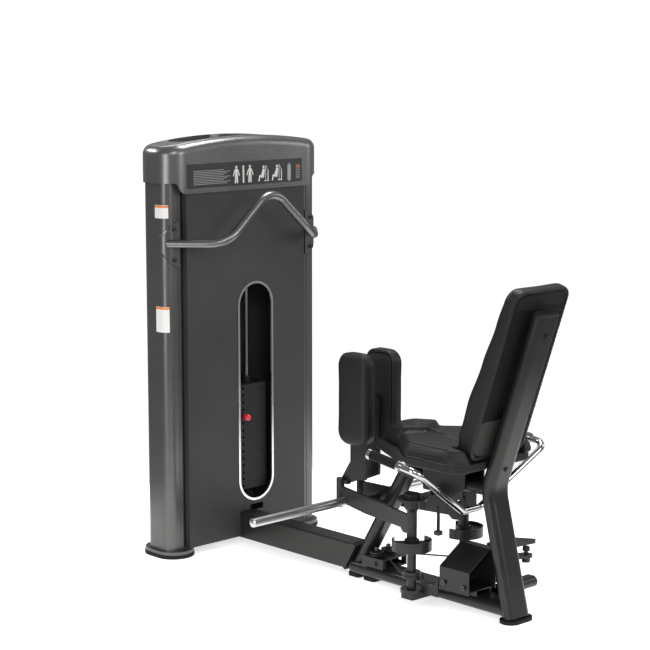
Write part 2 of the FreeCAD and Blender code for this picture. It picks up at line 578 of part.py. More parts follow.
def frame():
    flange_t = 9.0
    base_front_y = joint_y - 37.0
    lean = math.radians(incline_deg)
    window = box(-20, 20, joint_y - 200, joint_y + 60, cable_z - 10, cable_z + 8)

    # Main beam: its seat end is cut to the lean of the front tube and carries a flange.
    start = tower_y - member_half_d - 0.2
    back = flange_t / math.cos(lean)
    outline = [(start, beam_bottom), (start, beam_top), (lean_point(beam_top) + back, beam_top),
               (lean_point(beam_bottom) + back, beam_bottom)]
    beam = rounded_edges(side_plate(outline, -beam_w / 2, beam_w / 2), 6, along(V(0, 1, 0)))
    inner = box(-beam_w / 2 + 4, beam_w / 2 - 4, joint_y - 150, start + 1, beam_bottom + 4, beam_top - 4)
    beam = beam.cut(inner)
    save("main_beam", fuse(beam, lean_flange(0.3, flange_t, window)))

    # Front tube, leaning back from the joint to the seat, with the mating flange.
    drop = (incline_h / 2 + flange_t) / math.cos(lean)
    low_z, high_z = 34.0, 452.0
    line = [(lean_point(low_z) - drop, low_z), (lean_point(high_z) - drop, high_z)]
    front = oval_tube(line, 0, incline_w, incline_h, 3)
    base_skin = oval_tube([(base_front_y, base_tube_z), (post_foot_y + 10, base_tube_z)],
                          0, tube_w, tube_h, tube_h / 2 - 0.2)
    front = biggest(front.cut(base_skin).cut(window))
    save("front_tube", fuse(front, lean_flange(-flange_t, -0.3, window)))

    # Rear post, bent at the knee behind the seat.
    post_line = [(post_foot_y, 12.4), (post_knee_y, post_knee_z), (post_top_y, post_top_z)]
    post = oval_tube(post_line, 150, tube_w, tube_h + 4, 3)
    post_skin = oval_tube(post_line, 150, tube_w, tube_h + 4, tube_h / 2 + 1.8)
    post = post.cut(box(-80, 80, post_foot_y - 80, post_foot_y + 80, 0, 12.3))
    save("rear_post", post)

    # Base tube along the floor, with the outrigger welded to its right side.
    base = oval_tube([(base_front_y, base_tube_z), (post_foot_y + 10, base_tube_z)], 0, tube_w, tube_h, 3)
    outrigger = prism(rounded_rect(58, 40, 19.5), 0, 196)
    outrigger = outrigger.cut(prism(rounded_rect(52, 34, 16.5), -1, 190))
    outrigger.Placement = FreeCAD.Placement(
        V(52, outrigger_y, 60), FreeCAD.Rotation(V(0, 1, 0), V(0, 0, 1), V(1, 0, 0), "ZXY"))
    save("base_tube", fuse(biggest(base.cut(post_skin)), outrigger.cut(base_skin)))

    # Seat support: a level tube from the front tube to the knee, two side plates and two bearers.
    support_z = 440.0
    support = oval_tube([(lean_point(support_z) - drop - 4, support_z), (post_knee_y + 6, support_z)],
                        0, 90, 44, 3)
    front_skin = oval_tube(line, 0, incline_w, incline_h, incline_h / 2 - 0.2)
    support = support.cut(post_skin).cut(front_skin)
    pieces = [support]
    for side in (-1, 1):
        x0, x1 = sorted((side * 44.6, side * 51))
        plate = side_plate([(pivot_y + 28, 398), (pivot_y + 28, pan_bottom - 6.2),
                            (pivot_y - 168, pan_bottom - 6.2), (pivot_y - 168, 430),
                            (pivot_y - 120, 398)], x0, x1)
        pieces.append(plate)
    for y in (pivot_y + 24, pivot_y - 160):
        pieces.append(box(-120, 120, y - 22, y + 22, pan_bottom - 6.2, pan_bottom - 0.2))
    hanger = box(-20, 20, bar_low_y - 7, bar_low_y + 7, bar_low_z + 12.8, support_z - 20)
    save("seat_support", fuse(*pieces, hanger))

    cap_run = V(0, post_top_y - post_knee_y, post_top_z - post_knee_z).normalize()
    cap = prism(stadium(tube_w, tube_h + 4), 0, 16)
    cap = rounded_edges(cap, 6, lambda e: e.CenterOfMass.z > 15.9)
    cap.Placement = FreeCAD.Placement(V(0, post_top_y, post_top_z) + cap_run * 0.2,
                                      FreeCAD.Rotation(V(1, 0, 0), V(0, 0, 0), cap_run, "XZY"))
    save("post_end_cap", cap)

    feet = []
    for side in (-1, 1):
        foot = prism(stadium(base_plate[1] + 5, base_plate[0] + 5), 0, rubber_t - 0.1)
        foot.rotate(V(0, 0, 0), V(0, 0, 1), 90)
        foot.translate(V(side * (column_x - base_shift), tower_y, 0))
        feet.append(foot)
    feet.append(prism(stadium(tube_w + 26, 74), 0, 12.2, 0, post_foot_y))
    for y in (tower_y - 712, tower_y - 790):
        feet.append(prism(rounded_rect(74, 58, 12), 0, 14.9, 0, y))
    save("rubber_feet", *feet)


# ---------------------------------------------------------------- leg arms
def pivots():
    """Fixed shafts on discs, the bridge that ties their tops together, and its caps."""
    disc = rod(39, (-pivot_x, pivot_y, 50), (-pivot_x, pivot_y, 62))
    shaft = rod(shaft_r, (-pivot_x, pivot_y, 50), (-pivot_x, pivot_y, 399))
    stub = box(-pivot_x - 26, -tube_w / 2 - 0.1, pivot_y - 30, pivot_y + 30, 28, 50)
    stub = rounded_edges(stub, 10, lambda e: along(V(0, 0, 1))(e) and e.CenterOfMass.x < -100)
    rail = box(-pivot_x + 14, -pivot_x + 19, pivot_y - 112, pivot_y - 34, 50, 118)
    rail = rail.cut(rod(34, (-pivot_x, pivot_y - 73, 118), (0, pivot_y - 73, 118)))
    post = fuse(disc, shaft, stub, rail)
    save("pivot_posts", post, mirrored(post))

    plate = box(-pivot_x, pivot_x, pivot_y - 24, pivot_y + 24, index_z, index_z + 8)
    for side in (-1, 1):
        centre = (side * pivot_x, pivot_y)
        plate = plate.fuse(rod(54, (*centre, index_z), (*centre, index_z + 8)))
    for side in (-1, 1):
        centre = (side * pivot_x, pivot_y)
        plate = plate.cut(rod(shaft_r, (*centre, index_z - 5), (*centre, index_z + 20)))
        for k in range(10):
            a = math.radians(36 * k + 18)
            hole = (centre[0] + 43 * math.cos(a), centre[1] + 43 * math.sin(a))
            plate = plate.cut(rod(4.5, (*hole, index_z - 5), (*hole, index_z + 20)))
    beam = box(-96, 96, pivot_y - 24, pivot_y + 24, index_z - 34, index_z)
    beam = beam.cut(box(-97, 97, pivot_y - 20, pivot_y + 20, index_z - 38, index_z - 4))
    web = box(-14, 14, pivot_y - 24, pivot_y + 24, index_z + 8, 417.8)
    spindle = rod(6, (0, pivot_y, 240), (0, pivot_y, index_z))
    spindle = spindle.fuse(box(-11, 11, pivot_y - 11, pivot_y + 11, 228, 243))
    save("pivot_bridge", fuse(plate, beam, web, spindle))

    cap = rod(29, (-pivot_x, pivot_y, index_z + 8.2), (-pivot_x, pivot_y, index_z + 24))
    cap = rounded_edges(cap, 4, lambda e: e.CenterOfMass.z > index_z + 23)
    cap = cap.cut(rod(shaft_r, (-pivot_x, pivot_y, index_z), (-pivot_x, pivot_y, 399.1)))
    save("bearing_caps", cap, mirrored(cap))

    # Bumper bar on the front tube: two ribbed rubber sleeves that the closed arms rest on.
    stop_y, stop_z = tower_y - 741.0, 290.0
    stop_half = boss_x + (boss_y - stop_y) * (pivot_x - boss_x) / (boss_y - pivot_y) - arm_t / 2 - 3.4
    bar = rod(5, (-stop_half + 1, stop_y, stop_z), (stop_half - 1, stop_y, stop_z))
    for side in (-1, 1):
        for k in range(5):
            x0, x1 = sorted((side * (stop_half - 9 * k), side * (stop_half - 9 * k - 6.5)))
            bar = bar.fuse(rod(10, (x0, stop_y, stop_z), (x1, stop_y, stop_z)))
        x0, x1 = sorted((side * (stop_half - 45), side * stop_half))
        bar = bar.fuse(rod(8, (x0, stop_y, stop_z), (x1, stop_y, stop_z)))
    flange_back = 0.4
    arm = box(-7, 7, lean_point(stop_z) - 9, stop_y + 4, stop_z - 12, stop_z + 12)
    leaning = box(-60, 60, -200, -9.0, -100, 600)
    leaning.rotate(V(0, 0, 0), V(1, 0, 0), incline_deg)
    leaning.translate(V(0, joint_y + flange_back, beam_bottom))
    save("arm_stop", fuse(bar, arm.cut(leaning)))


def leg_arm():
    """Left arm: a sleeve on the shaft, a flat arm forward and the boss that carries the pad."""
    pivot, boss = V(-pivot_x, pivot_y, 0), V(-boss_x, boss_y, 0)
    length = (boss - pivot).Length
    turn = math.degrees(math.atan2(boss.y - pivot.y, boss.x - pivot.x))
    profile = [(0, 256), (46, 254), (62, 268), (length - 170, 268), (length - 60, 275), (length, 277),
               (length, 338), (0, 322)]
    corners = [V(u, -arm_t / 2, z) for u, z in profile]
    plate = Part.Face(Part.makePolygon(corners + corners[:1])).extrude(V(0, arm_t, 0))
    plate = plate.makeFillet(2.5, [e for e in plate.Edges if e.CenterOfMass.z > 320 and
                                   abs(abs(e.CenterOfMass.y) - arm_t / 2) < 0.1 and e.Length > 100])
    plate.rotate(V(0, 0, 0), V(0, 0, 1), turn)
    plate.translate(pivot)
    plate = plate.cut(rod(shaft_r + 3, (pivot.x, pivot.y, 200), (pivot.x, pivot.y, 400)))

    at = (pivot.x, pivot.y)
    sleeve = fuse(rod(neck_r, (*at, sleeve_bottom), (*at, neck_top)),
                  rod(sleeve_r, (*at, neck_top), (*at, sleeve_top)),
                  Part.makeCone(sleeve_r, 28, 14, V(*at, 338)),
                  rod(28, (*at, 352), (*at, sleeve_top)))
    tip = (boss.x, boss.y)
    hub = fuse(rod(boss_r, (*tip, 264), (*tip, 340)), Part.makeCone(6, boss_r, 9, V(*tip, 255)))
    stud = rod(8, (*tip, 330), (*tip, 362))
    arm = fuse(sleeve, plate, hub, stud)
    return arm.cut(rod(shaft_r + running_gap, (*at, 0), (*at, 500))), plate


def arms():
    arm, plate = leg_arm()
    save("left_leg_arm", arm)
    save("right_leg_arm", mirrored(arm))

    at = (-pivot_x, pivot_y)
    cam = rod(cam_r, (*at, cam_bottom), (*at, cam_top))
    cam = cam.cut(rod(cam_r - 5, (*at, cam_bottom - 1), (*at, cam_bottom + 13)))
    cam = cam.cut(rod(cam_r - 5, (*at, cam_top - 13), (*at, cam_top + 1)))
    cam = fuse(cam, rod(26, (*at, cam_bottom), (*at, cam_top)))
    slice_off = box(0, 200, -34, 200, cam_bottom - 5, cam_top + 5)
    slice_off.rotate(V(0, 0, 0), V(0, 0, 1), 48)
    slice_off.translate(V(-pivot_x + 30, pivot_y + 14, 0))
    cam = cam.cut(slice_off).cut(rod(sleeve_r, (*at, 0), (*at, 500)))
    drum = rod(drum_r, (*at, drum_bottom), (*at, drum_top))
    ring = Part.makeTorus(drum_wrap, cable_r + 0.4)
    ring.translate(V(*at, cable_z))
    mouth = rod(drum_r + 4, (*at, cable_z - cable_r - 0.4), (*at, cable_z + cable_r + 0.4))
    mouth = mouth.cut(rod(drum_wrap, (*at, 0), (*at, 300)))
    drum = drum.cut(ring).cut(mouth).cut(rod(neck_r, (*at, 0), (*at, 500)))
    save("left_cam", cam, drum)
    save("right_cam", mirrored(cam), mirrored(drum))

    peg = rod(peg_r, (-58, peg_y, peg_z), (-peg_out + 9, peg_y, peg_z))
    peg = peg.cut(plate)
    dome = Part.makeSphere(26, V(-peg_out + 26, peg_y, peg_z))
    dome = dome.common(rod(peg_r, (-peg_out - 5, peg_y, peg_z), (-peg_out + 9, peg_y, peg_z)))
    peg = fuse(peg, dome)
    outer = biggest(peg)
    save("left_foot_peg", outer)
    save("right_foot_peg", mirrored(outer))


# ---------------------------------------------------------------- thigh pads
def thigh_pads():
    """Left pad: a boot-shaped bracket that turns on the arm's boss, a shell and a cushion."""
    x_in, x_out = -pad_in + 0.3, -pad_in + 9.3
    strip_front, strip_rear = tower_y - 701.0, tower_y - 775.0
    boot = side_plate([(boss_y + 6, 346), (boss_y + 6, 364), (strip_front, 432), (strip_front, 672),
                       (strip_rear, 672), (strip_rear, 383), (boss_y - 40, 352), (boss_y - 14, 346)],
                      x_in, x_out)
    boot = boot.makeFillet(12, [e for e in boot.Edges if abs(e.CenterOfMass.z - 672) < 0.1
                                and along(V(1, 0, 0))(e)])
    tip = (-boss_x, boss_y)
    hub = rod(boss_r, (*tip, 340 + air), (*tip, 366))
    ledge = box(-boss_x, x_out, boss_y - 34, boss_y + 6, 346, 360)
    bracket = fuse(boot, hub, ledge).cut(rod(8 + running_gap, (*tip, 300), (*tip, 362.5)))
    bolts = []
    for z in (604, 652):
        head = socket_screw(V(x_out + 0.05, tower_y - 738.0, z), V(1, 0, 0))
        bolts.append(head)
    save("left_pad_bracket", bracket, *bolts)
    save("right_pad_bracket", mirrored(bracket), *[mirrored(b) for b in bolts])

    def slab(grow, x0, x1):
        outline = rounded_rect(pad_w + 2 * grow, pad_top - pad_bottom + 2 * grow, pad_corner + grow)
        slab = prism(outline, 0, x1 - x0)
        slab.Placement = FreeCAD.Placement(
            V(x0, pad_y, (pad_top + pad_bottom) / 2),
            FreeCAD.Rotation(V(0, 1, 0), V(0, 0, 1), V(1, 0, 0), "ZXY"))
        return slab
    shell = slab(-3, -pad_mid, -pad_in)
    shell = rounded_edges(shell, 5, lambda e: e.CenterOfMass.x > -pad_in - 0.1)
    save("left_pad_shell", shell)
    save("right_pad_shell", mirrored(shell))
    cushion = slab(0, -pad_out, -pad_mid - 0.3)
    cushion = rounded_edges(cushion, 12, lambda e: e.CenterOfMass.x < -pad_out + 0.1)
    save("left_thigh_pad", cushion)
    save("right_thigh_pad", mirrored(cushion))


# ---------------------------------------------------------------- seat and back
def seat_outline(inset):
    """The seat in plan: wide and square at the back, drawn in to a nose between the thighs."""
    half, nose = seat_half_w - inset, nose_half_w - inset
    front, rear = nose_y - inset, seat_rear_y + inset
    wing_y = pivot_y + 2.0
    points = [(nose, front), (half, wing_y), (half, rear)]
    points += [(-x, y) for x, y in reversed(points)]
    slab = prism(Part.makePolygon([V(x, y, 0) for x, y in points + points[:1]]), 0, 1)
    for (px, py), radius in (((nose, front), 40), ((half, wing_y), 150), ((half, rear), 60)):
        slab = rounded_edges(slab, radius - inset * 0.5, lambda e: along(V(0, 0, 1))(e)
                             and abs(abs(e.CenterOfMass.x) - px) < 1 and abs(e.CenterOfMass.y - py) < 1)
    return [f for f in slab.Faces if f.normalAt(0, 0).z < -0.9][0].OuterWire


def seat():
    pan = prism(seat_outline(8), pan_bottom, pan_top)
    pan = rounded_edges(pan, 8, lambda e: e.CenterOfMass.z < pan_bottom + 0.1)
    post_notch = box(-tube_w / 2 - 2, tube_w / 2 + 2, seat_rear_y - 40, post_knee_y + 4, 400, 700)
    pan = pan.cut(post_notch)
    save("seat_pan", pan)
    cushion = prism(seat_outline(0), pan_top + 0.3, seat_top)
    cushion = rounded_edges(cushion, 18, lambda e: e.CenterOfMass.z > seat_top - 0.1)
    nose = prism(seat_outline(14), seat_top - 16, nose_top)
    nose = nose.common(box(-300, 300, nose_step_y, nose_y + 10, seat_top - 20, nose_top + 5))
    nose = rounded_edges(nose, 12, lambda e: e.CenterOfMass.z > nose_top - 0.1)
    cushion = fuse(cushion, nose)
    back_pocket = box(-back_half_w - 3, back_half_w + 3, seat_rear_y - 40, back_foot_y, 400, 700)
    save("seat_pad", cushion.cut(back_pocket))


def backrest():
    """Cushion and its core board on the rear post, modelled upright and then laid back."""
    run = V(0, post_top_y - post_knee_y, post_top_z - post_knee_z)
    lean = math.degrees(math.atan2(-run.y, run.z))
    rim, board_front = 28.0, 50.0
    span, middle = back_high - back_low, (back_high + back_low) / 2

    def upright(half_w, half_h, corner, near, far):
        """A round-cornered slab that faces +Y, centred on the pad's middle."""
        slab = prism(rounded_rect(2 * half_w, 2 * half_h, corner), near, far)
        slab.Placement = FreeCAD.Placement(
            V(0, 0, middle), FreeCAD.Rotation(V(1, 0, 0), V(0, 0, -1), V(0, 1, 0), "XYZ"))
        return slab

    # The front swells to its fullest at the small of the back and thins towards the top.
    crest = [V(-150, 96, back_low - 1), V(-150, 112, back_low + 90), V(-150, 115, back_low + 190),
             V(-150, 102, back_low + 345), V(-150, 89, back_low + 490), V(-150, 79, back_high + 1)]
    curve = Part.BSplineCurve()
    curve.interpolate(crest)
    low, high = V(-150, rim, back_low - 1), V(-150, rim, back_high + 1)
    side = Part.Wire([Part.LineSegment(low, crest[0]).toShape(), curve.toShape(),
                      Part.LineSegment(crest[-1], high).toShape(), Part.LineSegment(high, low).toShape()])
    cushion = Part.Face(side).extrude(V(300, 0, 0))
    cushion = cushion.common(upright(back_half_w, span / 2, back_corner, 0, 140))
    board = upright(back_half_w - 18.4, span / 2 - 14.4, 30, rim, board_front - 0.4)
    pocket = upright(back_half_w - 18, span / 2 - 14, 30.4, rim - 10, board_front)
    cushion = cushion.cut(pocket)
    for piece in (cushion, board):
        piece.rotate(V(0, 0, 0), V(1, 0, 0), lean)
        piece.translate(V(0, post_knee_y, post_knee_z))
    save("back_pad", cushion)
    save("back_shell", board)


# ---------------------------------------------------------------- handles, covers, adjuster
def seat_handles():
    """One bent bar under the seat, with a foam grip and two chrome collars at each end."""
    bar_r = 12.5
    bend_z = grip_front_z - grip_drop * (grip_front_y - bar_bend_y)
    half = [(-grip_x, grip_front_y, grip_front_z), (-grip_x, bar_bend_y, bend_z),
            (-44, bar_low_y, bar_low_z)]
    right = [(-x, y, z) for x, y, z in reversed(half)]
    bar = round_tube(half + right, [34, 34, 34, 34], bar_r, bar_r - 2.2)
    save("seat_handle_bar", bar)
    lead = (V(*half[0]) - V(*half[1])).normalize()
    front = V(*half[0])

    def sleeve(radius, near, far):
        start, end = front - lead * near, front - lead * far
        tube = rod(radius, tuple(start), tuple(end))
        return tube.cut(rod(bar_r, tuple(start + lead), tuple(end - lead)))
    grip = sleeve(16.5, 12.3, 136.0)
    ring = sleeve(19, 136.3, 149.0)
    plug = rod(19, tuple(front - lead * 12), tuple(front + lead * 3))
    plug = plug.cut(rod(bar_r, tuple(front - lead * 14), tuple(front)))
    save("handle_grips", grip, mirrored(grip))
    save("handle_collars", ring, mirrored(ring), plug, mirrored(plug))


def covers_and_adjuster():
    # Folded cover over the left side of the linkage: upright face, slope and level top.
    y0, y1 = tower_y - 1353.0, tower_y - 1217.0
    outer = [(-116, 84), (-116, 164), (-12, 230), (22, 230), (22, 86), (19, 86), (19, 227),
             (-11, 227), (-113, 162), (-113, 84)]
    corners = [V(x, y0, z) for x, z in outer]
    cover = Part.Face(Part.makePolygon(corners + corners[:1])).extrude(V(0, y1 - y0, 0))
    front = [(-113, 84), (-113, 162), (-11, 227), (19, 227), (19, 84)]
    corners = [V(x, y1 - 3, z) for x, z in front]
    cover = fuse(cover, Part.Face(Part.makePolygon(corners + corners[:1])).extrude(V(0, 3, 0)))
    foot = box(-115, 21, y0 + 20, y1 - 20, base_tube_z + tube_h / 2 + 0.2, 88)
    foot = foot.cut(box(-120, -54, y0, y1, 0, 84)).cut(box(-50, 17, y0, y1, 0, 84))
    save("mechanism_cover", fuse(cover, foot))

    # Index plate and its upright, which the adjuster lever turns on.
    x, y = 96.0, tower_y - 1296.0
    upright = fuse(rod(12, (x, y, 80.2), (x, y, 150)), rod(9, (x, y, 150), (x, y, 204)))
    plate = prism(Part.makePolygon([V(70, y + 34, 0), V(186, y + 34, 0), V(246, y - 60, 0),
                                    V(150, y - 46, 0), V(70, y - 30, 0), V(70, y + 34, 0)]), 204, 218)
    plate = rounded_edges(plate, 9, along(V(0, 0, 1)))
    for k in range(5):
        a = math.radians(-34 + 13 * k)
        hole = (x + 112 * math.cos(a), y + 112 * math.sin(a))
        plate = plate.cut(rod(4.5, (*hole, 190), (*hole, 230)))
    save("index_plate", fuse(upright, plate))
    at = (x, y)
    tip = (x + 112 * math.cos(math.radians(-21)), y + 112 * math.sin(math.radians(-21)))
    lever = prism(stadium(158, 46), 158, 168)
    lever.translate(V(56, 0, 0))
    lever.rotate(V(0, 0, 0), V(0, 0, 1), -21)
    lever.translate(V(*at, 0))
    hub = rod(17, (*at, 151), (*at, 186))
    block = rod(15, (*tip, 140), (*tip, 158))
    lever = fuse(lever, hub, block).cut(rod(9 + running_gap, (*at, 100), (*at, 300)))
    save("adjuster_lever", lever)
    knob = fuse(rod(7, (*tip, 168.2), (*tip, 182)), rod(13, (*tip, 180), (*tip, 196)))
    save("adjuster_knob", rounded_edges(knob, 4, lambda e: e.CenterOfMass.z > 195.5))


def bolts(tower_bolts):
    """Cap screws that show: on the handle plates, the rear post and the redirect channel."""
    group = list(tower_bolts)
    run = V(0, post_top_y - post_knee_y, post_top_z - post_knee_z).normalize()
    out = V(0, -run.z, run.y)
    for distance in (90, 590):
        seat_point = V(0, post_knee_y, post_knee_z) + run * distance + out * (tube_h / 2 + 2.1)
        group.append(socket_screw(seat_point, out))
    for side in (-1, 1):
        group.append(socket_screw(V(side * redirect_x, redirect_y, cable_z + 14.1), V(0, 0, 1)))
        for y in (tower_y - 1330, tower_y - 1240):
            if side < 0:
                group.append(socket_screw(V(-116.1, y, 110), V(-1, 0, 0)))
    save("frame_bolts", *group)


tower()
tower_screws = tower_handle()
weight_stack()
pulleys()
cables()
frame()
pivots()
arms()
thigh_pads()
seat()
backrest()
seat_handles()
covers_and_adjuster()
bolts(tower_screws)
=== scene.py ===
import json
import math
import bmesh
import bpy
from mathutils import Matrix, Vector
from mathutils.bvhtree import BVHTree
from mathutils.kdtree import KDTree


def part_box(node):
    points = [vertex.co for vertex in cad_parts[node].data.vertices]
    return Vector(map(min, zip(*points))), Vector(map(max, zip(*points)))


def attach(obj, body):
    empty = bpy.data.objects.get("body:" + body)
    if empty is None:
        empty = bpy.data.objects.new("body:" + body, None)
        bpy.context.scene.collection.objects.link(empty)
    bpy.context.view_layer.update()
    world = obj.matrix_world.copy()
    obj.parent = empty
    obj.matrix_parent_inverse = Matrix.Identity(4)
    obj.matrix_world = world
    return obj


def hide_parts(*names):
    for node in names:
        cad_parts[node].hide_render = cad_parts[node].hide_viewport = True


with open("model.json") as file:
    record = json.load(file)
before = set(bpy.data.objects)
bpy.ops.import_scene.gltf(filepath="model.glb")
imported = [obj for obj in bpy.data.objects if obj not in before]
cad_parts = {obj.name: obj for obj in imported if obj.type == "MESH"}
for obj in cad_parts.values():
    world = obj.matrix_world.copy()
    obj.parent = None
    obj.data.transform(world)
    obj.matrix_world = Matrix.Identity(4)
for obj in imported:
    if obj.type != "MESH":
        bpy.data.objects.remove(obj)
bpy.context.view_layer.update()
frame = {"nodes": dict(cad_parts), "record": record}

MM = 0.001
tower_y = sum(corner.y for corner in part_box("tower_cap")) / 2

# The straight upper run of the rear post, which the back cushion lies along.
post_knee = Vector((0, tower_y - 1.357, 0.440))
post_run = (Vector((0, tower_y - 1.568, 1.052)) - post_knee).normalized()
post_out = Vector((0, post_run.z, -post_run.y))
nose_front = tower_y - 0.880


# ---------------------------------------------------------------- camera, light and floor
def look_at(position, target):
    """The rotation that points a camera or a lamp at target."""
    return (Vector(target) - Vector(position)).to_track_quat("-Z", "Y").to_euler()


def studio():
    """The camera, six soft lamps and one tall strip, a white surround and a small pale floor."""
    scene = bpy.context.scene
    camera = bpy.data.objects.new("camera", bpy.data.cameras.new("camera"))
    camera.data.sensor_width = 36.0
    camera.data.lens = 102.57
    camera.location = (-4.6443, tower_y - 5.4098, 1.9594)
    camera.rotation_euler = (math.radians(90 - 8.85), 0, math.radians(-43.55))
    camera.data.clip_end = 100
    scene.collection.objects.link(camera)
    scene.camera = camera

    for name, place, target, size, power in (
            ("key", (-3.0, -4.2, 3.8), (0, 0.1, 0.6), (2.2, 2.2), 85),
            ("front", (0.6, -4.8, 2.4), (0, 0, 0.8), (2.0, 2.2), 74),
            ("strip", (-3.9, -0.7, 1.3), (-0.3, 0.6, 1.0), (1.3, 2.5), 48),
            ("right", (4.2, -2.4, 2.4), (0, 0, 0.7), (1.4, 2.4), 35),
            ("rear", (1.8, 3.6, 4.6), (0, 0.2, 0.8), (1.6, 1.6), 30),
            ("over", (-1.6, 3.0, 3.2), (0, -0.2, 0.6), (1.6, 0.8), 48),
            ("top", (1.15, 0.35, 4.4), (0, 0.4, 1.2), (1.5, 1.3), 95)):
        lamp = bpy.data.lights.new(name, "AREA")
        lamp.shape = "RECTANGLE"
        lamp.size, lamp.size_y = size
        lamp.energy = power
        holder = bpy.data.objects.new(name, lamp)
        holder.location = place
        holder.rotation_euler = look_at(place, target)
        scene.collection.objects.link(holder)

    # A white surround, dimmer as a light than it looks, so that black pieces stay black.
    world = bpy.data.worlds.new("studio")
    world.use_nodes = True
    tree = world.node_tree
    sky = tree.nodes["Background"]
    sky.inputs["Color"].default_value = (1, 1, 1, 1)
    ambient, seen = 0.26, 1.05
    shown = tree.nodes.new("ShaderNodeMapRange")
    shown.inputs["To Min"].default_value = ambient
    shown.inputs["To Max"].default_value = seen
    tree.links.new(tree.nodes.new("ShaderNodeLightPath").outputs["Is Camera Ray"], shown.inputs["Value"])
    tree.links.new(shown.outputs["Result"], sky.inputs["Strength"])
    scene.world = world
    scene.view_settings.view_transform = "Standard"

    mesh = bpy.data.meshes.new("floor")
    reach, corners = 1.7, 64
    turns = [2 * math.pi * k / corners for k in range(corners)]
    rim = [(reach * math.cos(t), reach * math.sin(t), 0) for t in turns]
    mesh.from_pydata(rim, [], [tuple(range(corners))])
    floor = bpy.data.objects.new("floor", mesh)
    scene.collection.objects.link(floor)
    paper = surface("floor", (0.95, 0.95, 0.95), 0.9, speck=0.0, patch=0.0, grain=(60, 0.0), rough_spread=0.0)
    shader = paper.node_tree.nodes["Principled BSDF"]
    shader.inputs["Emission Color"].default_value = (1, 1, 1, 1)
    shader.inputs["Emission Strength"].default_value = 0.66
    floor.data.materials.append(paper)


